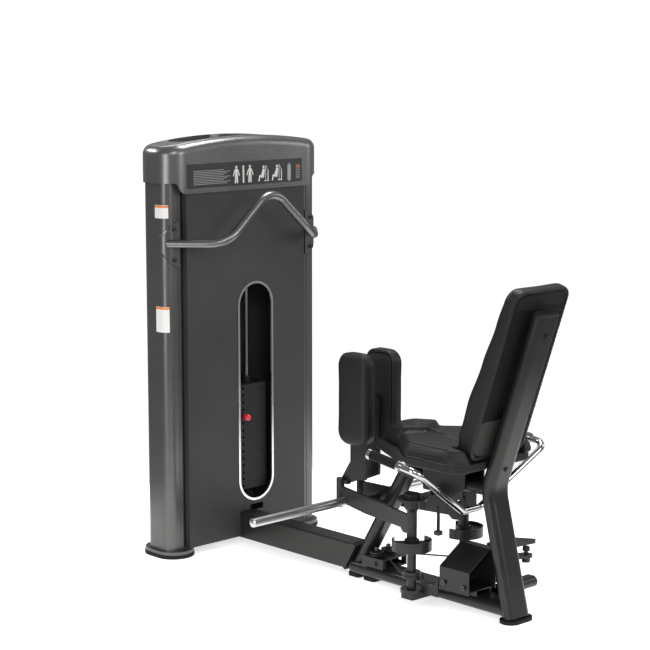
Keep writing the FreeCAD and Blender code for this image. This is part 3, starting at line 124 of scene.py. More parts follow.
# ---------------------------------------------------------------- materials
def surface(name, colour, rough, metallic=0.0, coat=0.0, speck=0.10, patch=0.12, grain=(900, 0.12),
            rough_spread=0.10, edge=0.0, stretch=(1, 1, 1), cells=None, gloss=0.5):
    """A finish made of noise: soft patches and fine specks of colour, uneven roughness, a raised grain
    and, with edge, paler worn edges. Grain is (scale, strength), cells the (scale, depth) of a leather's
    creases, and gloss the strength of the plain reflection."""
    mat = bpy.data.materials.new(name)
    mat.use_nodes = True
    tree = mat.node_tree
    nodes, link = tree.nodes, tree.links.new
    shader = nodes["Principled BSDF"]
    shader.inputs["Metallic"].default_value = metallic
    shader.inputs["Specular IOR Level"].default_value = gloss
    shader.inputs["Coat Weight"].default_value = coat
    shader.inputs["Coat Roughness"].default_value = 0.25

    spot = nodes.new("ShaderNodeTexCoord").outputs["Object"]
    if tuple(stretch) != (1, 1, 1):
        mapping = nodes.new("ShaderNodeMapping")
        mapping.inputs["Scale"].default_value = stretch
        link(spot, mapping.inputs["Vector"])
        spot = mapping.outputs["Vector"]

    def noise(scale, detail=2.0):
        """Noise over the object's own coordinates, from 0 to 1."""
        node = nodes.new("ShaderNodeTexNoise")
        node.inputs["Scale"].default_value = scale
        node.inputs["Detail"].default_value = detail
        link(spot, node.inputs["Vector"])
        return node.outputs["Fac"]

    def blend_to(low, high, factor, a, b):
        """Spreads factor from low..high over the two values or colours a and b."""
        node = nodes.new("ShaderNodeMapRange")
        node.inputs["From Min"].default_value = low
        node.inputs["From Max"].default_value = high
        node.inputs["To Min"].default_value = a
        node.inputs["To Max"].default_value = b
        link(factor, node.inputs["Value"])
        return node.outputs["Result"]

    def tinted(factor, a, b):
        """A colour between a and b, with all of the change in the middle of the noise's range."""
        ramp = nodes.new("ShaderNodeValToRGB")
        ramp.color_ramp.elements[0].position, ramp.color_ramp.elements[1].position = 0.3, 0.7
        ramp.color_ramp.elements[0].color = (*a, 1)
        ramp.color_ramp.elements[1].color = (*b, 1)
        link(factor, ramp.inputs["Fac"])
        return ramp.outputs["Color"]

    def multiplied(one, two):
        """One colour times another."""
        mix = nodes.new("ShaderNodeMix")
        mix.data_type, mix.blend_type = "RGBA", "MULTIPLY"
        mix.inputs["Factor"].default_value = 1.0
        link(one, mix.inputs["A"])
        link(two, mix.inputs["B"])
        return mix.outputs["Result"]

    dark, light = [[c * k for c in colour] for k in (1 - patch, 1 + patch)]
    paint = tinted(noise(2.6, 4.0), dark, light)
    paint = multiplied(paint, tinted(noise(grain[0] * 0.8), (1 - speck,) * 3, (1, 1, 1)))
    if edge:
        bevel = nodes.new("ShaderNodeBevel")
        bevel.samples = 4
        bevel.inputs["Radius"].default_value = 1.6 * MM
        dot = nodes.new("ShaderNodeVectorMath")
        dot.operation = "DOT_PRODUCT"
        link(bevel.outputs["Normal"], dot.inputs[0])
        link(nodes.new("ShaderNodeNewGeometry").outputs["True Normal"], dot.inputs[1])
        worn = blend_to(0.99, 0.85, dot.outputs["Value"], 0.0, edge)
        mix = nodes.new("ShaderNodeMix")
        mix.data_type = "RGBA"
        link(worn, mix.inputs["Factor"])
        link(paint, mix.inputs["A"])
        mix.inputs["B"].default_value = (*[min(1, c * 2.2 + 0.05) for c in colour], 1)
        paint = mix.outputs["Result"]
    link(paint, shader.inputs["Base Color"])
    link(blend_to(0.3, 0.7, noise(7.0, 5.0), max(0.02, rough - rough_spread / 2), rough + rough_spread / 2),
         shader.inputs["Roughness"])

    normal = None
    if cells:
        voronoi = nodes.new("ShaderNodeTexVoronoi")
        voronoi.feature = "DISTANCE_TO_EDGE"
        voronoi.inputs["Scale"].default_value = cells[0]
        voronoi.inputs["Randomness"].default_value = 1.0
        link(spot, voronoi.inputs["Vector"])
        bump = nodes.new("ShaderNodeBump")
        bump.inputs["Strength"].default_value = 0.5
        bump.inputs["Distance"].default_value = cells[1]
        link(blend_to(0.0, 0.25, voronoi.outputs["Distance"], 0.0, 1.0), bump.inputs["Height"])
        normal = bump.outputs["Normal"]
    if grain[1]:
        bump = nodes.new("ShaderNodeBump")
        bump.inputs["Strength"].default_value = grain[1]
        bump.inputs["Distance"].default_value = 0.4 * MM
        link(noise(grain[0], 3.0), bump.inputs["Height"])
        if normal:
            link(normal, bump.inputs["Normal"])
        normal = bump.outputs["Normal"]
    if normal:
        link(normal, shader.inputs["Normal"])
    return mat


def finishes():
    return {
        "column_paint": surface("column_paint", (0.125, 0.125, 0.122), 0.34, 0.70, 0.15, edge=0.25),
        "frame_paint": surface("frame_paint", (0.036, 0.036, 0.034), 0.36, 0.60, 0.12, edge=0.35, gloss=0.3),
        "shroud_paint": surface("shroud_paint", (0.044, 0.044, 0.044), 0.55, 0.15, grain=(1400, 0.22),
                                edge=0.2, gloss=0.3),
        "cap_shell": surface("cap_shell", (0.150, 0.150, 0.146), 0.28, 0.65, 0.3),
        "placard": surface("placard", (0.03, 0.03, 0.03), 0.4, 0.0, 0.1, grain=(1200, 0.03), gloss=0.3),
        "plate_paint": surface("plate_paint", (0.016, 0.016, 0.016), 0.5, 0.1, grain=(500, 0.35), gloss=0.25),
        "polished_trim": surface("polished_trim", (0.75, 0.75, 0.76), 0.18, 1.0, speck=0.03, patch=0.03),
        "satin_steel": surface("satin_steel", (0.56, 0.56, 0.55), 0.30, 1.0, speck=0.05, patch=0.05,
                               grain=(700, 0.05), stretch=(0.1, 1, 1)),
        "handle_steel": surface("handle_steel", (0.21, 0.21, 0.21), 0.30, 1.0, speck=0.05, patch=0.05,
                                grain=(700, 0.0), stretch=(0.1, 1, 1)),
        "chrome": surface("chrome", (0.50, 0.50, 0.51), 0.12, 1.0, speck=0.02, patch=0.02, grain=(300, 0.0),
                          rough_spread=0.05),
        "bolt_steel": surface("bolt_steel", (0.10, 0.10, 0.10), 0.35, 0.9, grain=(1500, 0.08), edge=0.4),
        "rubber": surface("rubber", (0.012, 0.012, 0.012), 0.72, grain=(900, 0.3), gloss=0.2),
        "foam_grip": surface("foam_grip", (0.010, 0.010, 0.010), 0.85, grain=(1600, 0.5), gloss=0.2),
        "black_plastic": surface("black_plastic", (0.014, 0.014, 0.014), 0.45, grain=(1500, 0.15), gloss=0.3),
        "shell_plastic": surface("shell_plastic", (0.030, 0.030, 0.027), 0.5, grain=(1500, 0.2), gloss=0.3),
        "pulley_plastic": surface("pulley_plastic", (0.020, 0.020, 0.020), 0.4, grain=(800, 0.06), gloss=0.3),
        "red_plastic": surface("red_plastic", (0.62, 0.03, 0.05), 0.22, 0, 0.5, grain=(300, 0.02)),
        "cable": surface("cable", (0.010, 0.010, 0.010), 0.4, 0, 0.2, grain=(500, 0.1), gloss=0.3),
        "upholstery": surface("upholstery", (0.012, 0.012, 0.012), 0.42, 0, 0, grain=(700, 0.10),
                              cells=(520, 0.25 * MM), gloss=0.3),
        "back_cloth": surface("back_cloth", (0.008, 0.008, 0.008), 0.6, 0, 0, grain=(1800, 0.3), gloss=0.2),
        "print_pale": surface("print_pale", (0.62, 0.60, 0.58), 0.5, speck=0.03, patch=0.04,
                              grain=(900, 0.02)),
        "print_grey": surface("print_grey", (0.30, 0.29, 0.28), 0.5, speck=0.03, patch=0.04,
                              grain=(900, 0.02)),
        "print_white": surface("print_white", (0.85, 0.84, 0.82), 0.45, speck=0.02, patch=0.02,
                               grain=(900, 0.02)),
        "print_orange": surface("print_orange", (0.80, 0.25, 0.06), 0.45, speck=0.02, patch=0.03,
                                grain=(900, 0.02)),
    }


def dress_frame(finish):
    """Gives every CAD node its material, with smooth shading across its curved faces."""
    special = {"tower_handle": "handle_steel", "handle_plates": "column_paint", "seat_pan": "black_plastic"}
    for row in frame["record"]["subparts"]:
        node = frame["nodes"][row["node"]]
        node.data.materials.clear()
        node.data.materials.append(finish[special.get(row["node"], row["material_slot"])])
        mesh = node.data
        mesh.shade_smooth()
        if "custom_normal" in mesh.attributes:
            mesh.attributes.remove(mesh.attributes["custom_normal"])
        mesh.set_sharp_from_angle(angle=math.radians(32))
        evened = node.modifiers.new("evened", "WEIGHTED_NORMAL")
        evened.keep_sharp = True


# ---------------------------------------------------------------- mesh helpers
def piece_from(name, points, faces, body, slot, replaces=(), smooth=35, look=None):
    """A new piece in the row frame, riding on a body, smooth except at sharp edges."""
    mesh = bpy.data.meshes.new(name)
    mesh.from_pydata([tuple(p) for p in points], [], faces)
    mesh.validate()
    fix = bmesh.new()
    fix.from_mesh(mesh)
    bmesh.ops.remove_doubles(fix, verts=fix.verts, dist=0.00002)
    bmesh.ops.recalc_face_normals(fix, faces=fix.faces)
    fix.to_mesh(mesh)
    fix.free()
    piece = bpy.data.objects.new(name, mesh)
    bpy.context.scene.collection.objects.link(piece)
    return settle(piece, body, slot, replaces, smooth, look)


def settle(piece, body, slot, replaces=(), smooth=35, look=None):
    """Gives a piece its finish, its body and its shading. Look is a finish other than the slot's."""
    piece.data.materials.clear()
    piece.data.materials.append(finish[look or slot])
    if piece.type == "MESH":
        piece.data.shade_smooth()
        if smooth < 180:
            piece.data.set_sharp_from_angle(angle=math.radians(smooth))
    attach(piece, body)
    if replaces:
        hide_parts(*replaces)
    return piece


def lofted(rings):
    """Points and faces of a closed form through rings of equal count, capped at both ends."""
    count = len(rings[0])
    points = [p for ring in rings for p in ring]
    faces = []
    for k in range(len(rings) - 1):
        for i in range(count):
            j = (i + 1) % count
            faces.append((k * count + i, k * count + j, (k + 1) * count + j, (k + 1) * count + i))
    last = (len(rings) - 1) * count
    faces.append(tuple(range(count - 1, -1, -1)))
    faces.append(tuple(range(last, last + count)))
    return points, faces


def rounded_outline(half_w, half_h, radius, per_corner=9, bulge=0.0):
    """A rounded rectangle about the origin, its straight sides bowed out by bulge."""
    points = []
    for sx, sy, start in ((1, 1, 0), (-1, 1, 90), (-1, -1, 180), (1, -1, 270)):
        for k in range(per_corner + 1):
            a = math.radians(start + 90 * k / per_corner)
            points.append((sx * (half_w - radius) + radius * math.cos(a),
                           sy * (half_h - radius) + radius * math.sin(a)))
    dense = []
    for i, p in enumerate(points):
        q = points[(i + 1) % len(points)]
        gap = math.dist(p, q)
        steps = max(1, round(gap / (12 * MM)))
        dense += [(p[0] + (q[0] - p[0]) * s / steps, p[1] + (q[1] - p[1]) * s / steps) for s in range(steps)]
    return [(x * (1 + bulge / half_w * math.cos(y / half_h * math.pi / 2)),
             y * (1 + bulge / half_h * math.cos(x / half_w * math.pi / 2))) for x, y in dense]


def stuffed(piece, pressure, cap, voxel=5 * MM, hold=None):
    """Remeshes a closed form, inflates it as cloth, keeps each point within cap of where it
    began and smooths it once. Hold(point) is 0 where the cover is fixed and 1 where it is free."""
    remesh = piece.modifiers.new("remesh", "REMESH")
    remesh.mode, remesh.voxel_size = "VOXEL", voxel
    apply_modifiers(piece)
    rest = [v.co.copy() for v in piece.data.vertices]
    cloth = piece.modifiers.new("cloth", "CLOTH")
    cloth.settings.effector_weights.gravity = 0
    cloth.settings.use_pressure = True
    cloth.settings.uniform_pressure_force = pressure
    cloth.settings.quality = 4
    cloth.settings.mass = 0.3
    cloth.settings.tension_stiffness = cloth.settings.compression_stiffness = 12
    cloth.settings.bending_stiffness = 0.6
    cloth.point_cache.frame_start, cloth.point_cache.frame_end = 1, 20
    scene = bpy.context.scene
    for step in range(1, 21):
        scene.frame_set(step)
    apply_modifiers(piece)
    scene.frame_set(1)
    for vertex, start in zip(piece.data.vertices, rest):
        move = vertex.co - start
        reach = cap * (hold(start) if hold else 1.0)
        if move.length > reach:
            move = move.normalized() * reach if reach else Vector()
        vertex.co = start + move
    smoother = piece.modifiers.new("smooth", "SMOOTH")
    smoother.factor, smoother.iterations = 0.5, 4
    finer = piece.modifiers.new("finer", "SUBSURF")
    finer.levels = finer.render_levels = 1
    apply_modifiers(piece)
    piece.data.shade_smooth()
    return piece


def apply_modifiers(piece):
    """Bakes the piece's modifiers into its mesh."""
    graph = bpy.context.evaluated_depsgraph_get()
    done = bpy.data.meshes.new_from_object(piece.evaluated_get(graph))
    old = piece.data
    piece.modifiers.clear()
    piece.data = done
    bpy.data.meshes.remove(old)


def pressed_seam(piece, path, depth=1.2 * MM, width=3.5 * MM):
    """Sinks the cover along a path, as a sewn seam does."""
    tree = KDTree(len(path))
    for i, p in enumerate(path):
        tree.insert(Vector(p), i)
    tree.balance()
    normals = [v.normal.copy() for v in piece.data.vertices]
    for vertex, normal in zip(piece.data.vertices, normals):
        away = tree.find(vertex.co)[2]
        if away < 3 * width:
            vertex.co -= normal * depth * math.exp(-(away / width) ** 2)


def snapped(path, piece, lift=0.0):
    """The path laid on the piece's surface."""
    graph = bpy.context.evaluated_depsgraph_get()
    tree = BVHTree.FromObject(piece, graph)
    out = []
    for p in path:
        spot, normal, _, _ = tree.find_nearest(Vector(p))
        out.append(spot + normal * lift)
    return out


def tube(name, path, radius, body, slot, closed=False):
    """A round welt or piping along a path, as a mesh."""
    curve = bpy.data.curves.new(name, "CURVE")
    curve.dimensions = "3D"
    spline = curve.splines.new("POLY")
    spline.points.add(len(path) - 1)
    for point, co in zip(spline.points, path):
        point.co = (*co, 1)
    spline.use_cyclic_u = closed
    curve.bevel_depth = radius
    curve.bevel_resolution = 2
    curve.use_fill_caps = True
    holder = bpy.data.objects.new(name + "_line", curve)
    bpy.context.scene.collection.objects.link(holder)
    graph = bpy.context.evaluated_depsgraph_get()
    mesh = bpy.data.meshes.new_from_object(holder.evaluated_get(graph))
    bpy.data.objects.remove(holder)
    piece = bpy.data.objects.new(name, mesh)
    bpy.context.scene.collection.objects.link(piece)
    return settle(piece, body, slot, (), 50)


# ---------------------------------------------------------------- thigh pads
def thigh_pad(side):
    """A cushion that wraps the edge of its moulded shell, with a crowned face and a welt."""
    name = "left" if side < 0 else "right"
    low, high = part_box(name + "_thigh_pad")
    shell_low, shell_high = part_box(name + "_pad_shell")
    centre = (low + high) / 2
    half_w, half_h = (high.y - low.y) / 2, (high.z - low.z) / 2
    face = max(abs(low.x), abs(high.x))
    back = min(abs(shell_low.x), abs(shell_high.x))
    rim, corner = 15 * MM, 43 * MM

    def ring(inset, depth, bulge=2 * MM):
        outline = rounded_outline(half_w - 3 * MM, half_h - 3 * MM, corner, bulge=bulge)
        kx, kz = 1 - inset / half_w, 1 - inset / half_h
        return [(side * depth, centre.y + y * kx, centre.z + z * kz) for y, z in outline]
    profile = [(rim + 40 * MM, back + 12 * MM), (rim + 1 * MM, back + 12 * MM), (rim, back + 11 * MM),
               (rim - 1 * MM, back + 5 * MM), (rim - 6 * MM, back + 3 * MM), (4 * MM, back + 4 * MM),
               (0, back + 9 * MM), (0, back + 14 * MM), (0, face - 19 * MM), (2 * MM, face - 12 * MM),
               (7 * MM, face - 6 * MM), (14 * MM, face - 3 * MM), (30 * MM, face - 1 * MM),
               (60 * MM, face)]
    points, faces = lofted([ring(i, d) for i, d in profile])
    cushion = piece_from(name + "_thigh_cushion", points, faces, name + "_pad", "upholstery",
                         [name + "_thigh_pad"], 180)
    stuffed(cushion, 1.8, 1.6 * MM, hold=lambda p: 0.0 if abs(p.x) < back + 13 * MM else 1.0)
    seam = [(side * (face - 16 * MM), y, z) for _, y, z in ring(1 * MM, face)]
    seam = snapped(seam, cushion)
    pressed_seam(cushion, seam, 1.0 * MM)
    tube(name + "_pad_welt", snapped(seam, cushion, 0.6 * MM), 1.5 * MM, name + "_pad", "upholstery", True)

    # Moulded shell with a shallow dish and a raised lip, inside the cushion's rim.
    def shell_ring(inset, depth):
        outline = rounded_outline(half_w - rim - 2 * MM, half_h - rim - 2 * MM, corner - 12 * MM)
        return [(side * depth, centre.y + y * (1 - inset / half_w), centre.z + z * (1 - inset / half_h))
                for y, z in outline]
    rows = [(30 * MM, back + 11 * MM), (0, back + 11 * MM), (0, back + 2 * MM), (1.5 * MM, back + 0.3 * MM),
            (4 * MM, back), (9 * MM, back + 0.2 * MM), (13 * MM, back + 2.2 * MM), (40 * MM, back + 2.6 * MM)]
    points, faces = lofted([shell_ring(i, d) for i, d in rows])
    piece_from(name + "_pad_moulding", points, faces, name + "_pad", "shell_plastic",
               [name + "_pad_shell"], 40)


# ---------------------------------------------------------------- seat
def smooth_step(low, high, value):
    """0 at low and 1 at high, level at both."""
    t = max(0.0, min(1.0, (value - low) / (high - low)))
    return t * t * (3 - 2 * t)


def seat_plan():
    """The seat's outline: a nose drawn in between the thighs, wide round rear corners. Each
    point comes with the direction that leads inwards from it."""
    low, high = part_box("seat_pad")
    corners = [((0.052, nose_front), 0.024), ((0.106, tower_y - 1.004), 0.060),
               ((high.x - 0.006, tower_y - 1.126), 0.045), ((high.x, low.y), 0.060)]
    corners += [((-x, y), r) for (x, y), r in reversed(corners)]
    points = []
    for i, (corner, radius) in enumerate(corners):
        here = Vector((*corner, 0))
        before = (Vector((*corners[i - 1][0], 0)) - here).normalized()
        after = (Vector((*corners[(i + 1) % len(corners)][0], 0)) - here).normalized()
        half_angle = before.angle(after) / 2
        reach = radius / math.tan(half_angle)
        middle = here + (before + after).normalized() * radius / math.sin(half_angle)
        start, end = here + before * reach - middle, here + after * reach - middle
        for k in range(13):
            points.append(middle + start.lerp(end, k / 12).normalized() * radius)
    dense = []
    for p, q in zip(points, points[1:] + points[:1]):
        steps = max(1, round((q - p).length / (10 * MM)))
        dense += [p.lerp(q, s / steps) for s in range(steps)]
    inward = []
    for i, p in enumerate(dense):
        along = dense[(i + 1) % len(dense)] - dense[i - 1]
        inward.append(Vector((-along.y, along.x, 0)).normalized())
    centre = sum(dense, Vector()) / len(dense)
    if sum((centre - p).dot(n) for p, n in zip(dense, inward)) < 0:
        inward = [-n for n in inward]
    return dense, inward


def seat_cushion():
    """A dished seat with sloping flanks, a raised nose, piping, and a pocket for the back pad."""
    low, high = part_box("seat_pad")
    outline, inward = seat_plan()
    dish = 597 * MM
    raised = high.z - dish
    step_middle, step_end, step_half = tower_y - 1.046, tower_y - 1.012, 0.088
    pad_low, pad_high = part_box("back_pad")
    foot = tower_y - 1.292
    wide = pad_high.x + 3 * MM

    def top(x, y):
        z = dish - 5 * MM * math.cos(min(1.0, abs(x) / 0.18) * math.pi / 2)
        step = step_middle + (step_end - step_middle) * (abs(x) / step_half) ** 2
        z += raised * smooth_step(step - 11 * MM, step + 11 * MM, y)
        z -= 12 * MM * smooth_step(nose_front - 60 * MM, nose_front, y)
        sunk = smooth_step(wide + 6 * MM, wide - 2 * MM, abs(x)) if abs(x) > wide - 2 * MM else 1.0
        sunk *= 1 - smooth_step(foot - 6 * MM, foot + 4 * MM, y)
        return z + (low.z + 2 * MM - z) * sunk

    def flank(inset, rise):
        ring = []
        for p, n in zip(outline, inward):
            q = p + n * inset
            ring.append((q.x, q.y, low.z + rise * (top(q.x, q.y) - low.z)))
        return ring

    def dished(share):
        ring = []
        for p, n in zip(outline, inward):
            q = p + n * 26 * MM
            spine = Vector((0, max(low.y + 0.15, min(nose_front - 0.06, q.y)), 0))
            q = spine.lerp(q, share)
            ring.append((q.x, q.y, top(q.x, q.y)))
        return ring
    rings = [flank(12 * MM, 0), flank(1 * MM, 0.01), flank(0, 0.06), flank(0, 0.34), flank(1.5 * MM, 0.38),
             flank(8 * MM, 0.62), flank(15 * MM, 0.87), flank(18.5 * MM, 0.98), flank(20 * MM, 1.0),
             flank(22 * MM, 1.0)]
    rings += [dished(share) for share in (1.0, 0.93, 0.84, 0.72, 0.60, 0.48, 0.36, 0.24, 0.12)]
    points, faces = lofted(rings)
    cushion = piece_from("seat_cushion", points, faces, "frame", "upholstery", ["seat_pad"], 180)
    stuffed(cushion, 1.5, 1.5 * MM, 4 * MM, hold=lambda p: 0.0 if p.z < low.z + 12 * MM else 1.0)

    # Piping round the dish and over the nose, from one side of the back pad to the other.
    def loop(inset, z):
        path = [p + n * inset for p, n in zip(outline, inward)]
        path = [Vector((p.x, p.y, z(p))) for p in path]
        front = max(range(len(path)), key=lambda i: path[i].y)
        path = path[front:] + path[:front]
        behind = min(range(len(path)), key=lambda i: path[i].y)
        right = [p for p in path[:behind] if p.y > low.y + 60 * MM]
        left = [p for p in path[behind:] if p.y > low.y + 60 * MM]
        return left + right
    edge = snapped(loop(19.5 * MM, lambda p: top(p.x, p.y)), cushion)
    pressed_seam(cushion, edge, 1.2 * MM)
    tube("seat_piping", snapped(edge, cushion, 0.7 * MM), 1.5 * MM, "frame", "upholstery")
    side = snapped(loop(-6 * MM, lambda p: low.z + 17 * MM), cushion)
    pressed_seam(cushion, side, 1.5 * MM, 3 * MM)
    tube("seat_side_piping", snapped(side, cushion, 0.6 * MM), 1.3 * MM, "frame", "upholstery")


# ---------------------------------------------------------------- back cushion
def on_post(x, along, away):
    """A point beside the post: along its upper run from the knee, and away square to its front."""
    return Vector((x, 0, 0)) + post_knee + post_run * along + post_out * away


def swell(along):
    """How far the cushion's face stands from the post's middle: fullest at the small of the back."""
    crest = [(105, 96), (195, 112), (295, 115), (450, 102), (595, 89), (735, 79)]
    mm = along / MM
    for (a, b), (c, d) in zip(crest, crest[1:]):
        if mm <= c or c == crest[-1][0]:
            return (b + (d - b) * smooth_step(a, c, mm)) * MM
    return crest[-1][1] * MM


def back_cushion():
    """The cushion with its rounded face, the sewn panels behind it and the lower moulded shell."""
    half_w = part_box("back_pad")[1].x
    rim, low, high, corner = 29 * MM, 105 * MM, 735 * MM, 42 * MM
    middle, half_h = (low + high) / 2, (high - low) / 2
    outline = rounded_outline(half_w - 1 * MM, half_h - 1 * MM, corner)

    def ring(inset, share):
        points = []
        for x, s in outline:
            x, along = x * (1 - inset / half_w), middle + s * (1 - inset / half_h)
            points.append(on_post(x, along, rim + share * (swell(along) - rim)))
        return points
    profile = [(60 * MM, 0.25), (19 * MM, 0.25), (17 * MM, 0.22), (15 * MM, 0.03), (12 * MM, 0.0),
               (3 * MM, 0.0), (0.5 * MM, 0.04), (0, 0.12), (0, 0.45), (0, 0.72), (3 * MM, 0.86),
               (9 * MM, 0.94), (20 * MM, 0.985), (45 * MM, 1.0), (90 * MM, 1.0)]
    points, faces = lofted([ring(i, f) for i, f in profile])
    cushion = piece_from("back_cushion", points, faces, "frame", "upholstery", ["back_pad"], 180)

    def free(p):
        away = (p - post_knee).dot(post_out)
        return smooth_step(45 * MM, 60 * MM, away)
    stuffed(cushion, 1.6, 1.2 * MM, hold=free)
    seam = snapped(ring(2 * MM, 0.80), cushion)
    pressed_seam(cushion, seam, 1.2 * MM)

    # Rear: an upholstered panel that is hollow across, a plain top panel and a moulded lower shell.
    inner = half_w - 15 * MM

    def across(from_along, to_along, depth_at_edge, hollow, x_half, steps_along=24, steps_x=28):
        """A slab whose rear surface curves across the pad; returns points and faces."""
        rear, front = [], []
        for i in range(steps_along + 1):
            along = from_along + (to_along - from_along) * i / steps_along
            for j in range(steps_x + 1):
                t = -1 + 2 * j / steps_x
                reach = x_half(along) * t
                rear.append(on_post(reach, along, depth_at_edge + hollow * (1 - t * t)))
                front.append(on_post(reach, along, max(depth_at_edge + hollow, depth_at_edge) + 12 * MM))
        width, count = steps_x + 1, len(rear)
        faces = []
        for i in range(steps_along):
            for j in range(steps_x):
                a, b = i * width + j, (i + 1) * width + j
                faces.append((a, b, b + 1, a + 1))
                faces.append((count + a, count + a + 1, count + b + 1, count + b))
        rim_ids = (list(range(width)) + [i * width + width - 1 for i in range(1, steps_along + 1)]
                   + [steps_along * width + j for j in range(width - 2, -1, -1)]
                   + [i * width for i in range(steps_along - 1, 0, -1)])
        for a, b in zip(rim_ids, rim_ids[1:] + rim_ids[:1]):
            faces.append((a, b, count + b, count + a))
        return rear + front, faces

    def within(along):
        """Half the width inside the rim, which narrows round the corners."""
        r = corner - 12 * MM
        past = max(0.0, along - (high - 15 * MM - r), (low + 15 * MM + r) - along)
        return inner - r + math.sqrt(max(0.0, r * r - min(past, r) ** 2)) if past else inner
    shell_top, panel_low, panel_high, top_panel_low = 254 * MM, 256 * MM, 668 * MM, 670.5 * MM
    points, faces = across(panel_low, panel_high, 31 * MM, 9 * MM, within)
    piece_from("back_rear_panel", points, faces, "frame", "upholstery", ["back_shell"], 40, "back_cloth")
    points, faces = across(top_panel_low, high - 16 * MM, 29.5 * MM, 1.5 * MM, within, 12)
    piece_from("back_top_panel", points, faces, "frame", "upholstery", (), 40)

    def shell_half(along):
        """Half the width of the lower shell, with its bottom corners rounded."""
        r = 34 * MM
        past = max(0.0, (low + 4 * MM + r) - along)
        return 122 * MM - r + math.sqrt(max(0.0, r * r - min(past, r) ** 2))
    points, faces = across(low + 4 * MM, shell_top, 44 * MM, -13.5 * MM, shell_half)
    piece_from("back_lower_shell", points, faces, "frame", "shell_plastic", (), 40)
    joint = 669.5 * MM
    step = [on_post(within(joint) * (-1 + k / 12), joint, 30 * MM) for k in range(25)]
    tube("back_panel_piping", step, 1.6 * MM, "frame", "rubber")
    rim_path = [p for p in ring(14 * MM, 0.0) if (p - post_knee).dot(post_run) > panel_high]
    rim_path.sort(key=lambda p: p.x)
    tube("back_top_piping", [p - post_out * 0.4 * MM for p in rim_path], 1.6 * MM, "frame", "rubber")


# ---------------------------------------------------------------- sign and labels
def flat_shape(name, outline, front_y, thick, look):
    """A flat shape drawn in XZ that stands proud of a face which looks along -Y."""
    count = len(outline)
    points = [(x, front_y + 0.2 * MM, z) for x, z in outline] + [(x, front_y - thick, z) for x, z in outline]
    faces = [tuple(range(count)), tuple(range(2 * count - 1, count - 1, -1))]
    faces += [(i, (i + 1) % count, count + (i + 1) % count, count + i) for i in range(count)]
    return piece_from(name, points, faces, "frame", "placard", (), 30, look)


def limb(a, b, r):
    """A round-ended bar between two points in the plane."""
    heading = math.atan2(b[1] - a[1], b[0] - a[0])
    points = []
    for centre, start in ((b, -90), (a, 90)):
        for k in range(9):
            t = heading + math.radians(start + 180 * k / 8)
            points.append((centre[0] + r * math.cos(t), centre[1] + r * math.sin(t)))
    return points


def pictogram(name, x, z, bones, head, look, tall, front_y):
    """A plain figure of round-ended bars and a round head, in a unit square scaled to tall."""
    for k, (a, b, r) in enumerate(bones):
        outline = limb([c * tall for c in a], [c * tall for c in b], r * tall)
        flat_shape("%s_bar_%d" % (name, k), [(x + u, z + v) for u, v in outline],
                   front_y, (0.25 + 0.03 * k) * MM, look)
    ring = [(x + tall * (head[0] + 0.075 * math.cos(t)), z + tall * (head[1] + 0.085 * math.sin(t)))
            for t in [2 * math.pi * k / 20 for k in range(20)]]
    flat_shape(name + "_head", ring, front_y, 0.25 * MM, look)


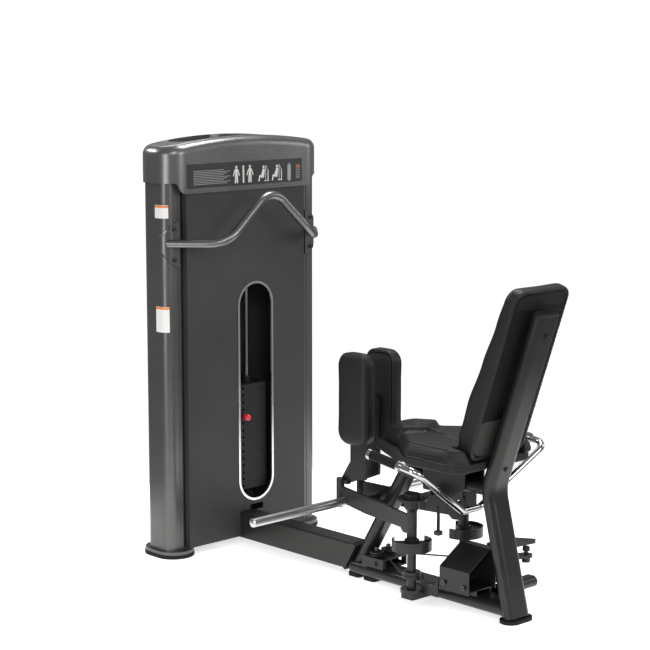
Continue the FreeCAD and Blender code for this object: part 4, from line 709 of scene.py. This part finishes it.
def sign():
    """Plain drawings on the dark panel: three standing and two seated figures, rules and a tower."""
    low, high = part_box("placard")
    base, tall = low.z + 9 * MM, 66 * MM
    tower_x, note_x, rule_x = 0.208, 0.244, low.x + 32 * MM
    rule_r, rule_gap, first_rule = 1.0 * MM, 6.2 * MM, 26 * MM
    stand = [((0, 0.78), (0, 0.48), 0.085), ((-0.11, 0.75), (-0.22, 0.44), 0.036),
             ((0.11, 0.75), (0.22, 0.44), 0.036), ((-0.05, 0.46), (-0.08, 0.04), 0.05),
             ((0.05, 0.46), (0.08, 0.04), 0.05)]
    profile = [((0, 0.78), (0.01, 0.48), 0.06), ((0.0, 0.74), (0.02, 0.46), 0.035),
               ((0.0, 0.46), (0.01, 0.04), 0.055)]
    seated = [((0.04, 0.66), (0.0, 0.34), 0.075), ((0.0, 0.32), (-0.24, 0.30), 0.06),
              ((-0.24, 0.30), (-0.30, 0.05), 0.045), ((0.03, 0.62), (-0.10, 0.42), 0.035),
              ((0.14, 0.70), (0.06, 0.22), 0.022), ((0.06, 0.22), (-0.10, 0.22), 0.022)]
    rack = [((0.22, 0.02), (0.22, 0.92), 0.016), ((0.40, 0.02), (0.40, 0.62), 0.03),
            ((0.22, 0.92), (0.40, 0.62), 0.012), ((0.12, 0.03), (0.44, 0.03), 0.02)]
    for k, (x, bones) in enumerate(((-0.062, stand), (-0.027, profile), (0.006, stand))):
        pictogram("sign_person_%d" % k, x, base, bones, (0, 0.91), "print_pale", tall, low.y)
    for k, x in enumerate((0.072, 0.141)):
        pictogram("sign_seated_%d" % k, x, base, seated + rack, (0.05, 0.83), "print_pale", tall, low.y)
    tower = [((0, 0.05), (0, 0.80), 0.13), ((0, 0.80), (0, 0.98), 0.02)]
    for k, (a, b, r) in enumerate(tower):
        outline = [(tower_x + u * tall, base + v * tall) for u, v in limb(a, b, r)]
        flat_shape("sign_tower_%d" % k, outline, low.y, 0.3 * MM, "print_grey")
    for k in range(9):
        z = high.z - first_rule - rule_gap * k
        length = (0.146, 0.178, 0.162)[k % 3]
        outline = limb((rule_x, z), (rule_x + length, z), rule_r)
        flat_shape("sign_rule_%d" % k, outline, low.y, 0.25 * MM, "print_grey")
        outline = limb((note_x, z), (note_x + length / 8, z), rule_r)
        flat_shape("sign_note_%d" % k, outline, low.y, 0.25 * MM, "print_orange" if k < 2 else "print_grey")


def column_label(name, low_z, high_z, look):
    """A thin sticker wrapped round the left column's outer front corner."""
    side_x = tower_low_x()
    front = tower_y - 70 * MM
    r = 38 * MM
    centre = Vector((side_x + r, front + r, 0))
    path = [Vector((side_x, centre.y + d, 0)) for d in (20 * MM, 10 * MM)]
    path += [centre + Vector((-math.cos(t), -math.sin(t), 0)) * r
             for t in [math.radians(62 * k / 10) for k in range(11)]]
    ring = []
    for lift in (0.05 * MM, 0.35 * MM):
        row = []
        for p in path:
            out = Vector((p.x - centre.x, min(0.0, p.y - centre.y), 0)).normalized()
            row.append(p + out * lift)
        ring.append(row)
    outline = ring[1] + ring[0][::-1]
    count = len(outline)
    points = [(p.x, p.y, z) for z in (low_z, high_z) for p in outline]
    half = count // 2
    faces = []
    for base in (0, count):
        last = base + count - 1
        faces += [(base + i, base + i + 1, last - 1 - i, last - i) for i in range(half - 1)]
    faces += [(i, (i + 1) % count, count + (i + 1) % count, count + i) for i in range(count)]
    return piece_from(name, points, faces, "frame", "placard", (), 30, look)


def tower_low_x():
    """The outer face of the left column, where its side is flat."""
    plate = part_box("handle_plates")[0]
    return plate.x + 6 * MM


def labels():
    """Two plain stickers on the left column, each with an orange bar along its top."""
    for k, (low_z, high_z) in enumerate(((1.295, 1.344), (0.868, 0.964))):
        column_label("column_label_%d" % k, low_z, high_z, "print_white")
        bar = high_z - 10 * MM
        piece = column_label("column_label_bar_%d" % k, bar, high_z - 1 * MM, "print_orange")
        for vertex in piece.data.vertices:
            vertex.co.x -= 0.12 * MM
            vertex.co.y -= 0.12 * MM


studio()
finish = finishes()
dress_frame(finish)
seat_cushion()
back_cushion()
for side in (-1, 1):
    thigh_pad(side)
sign()
labels()
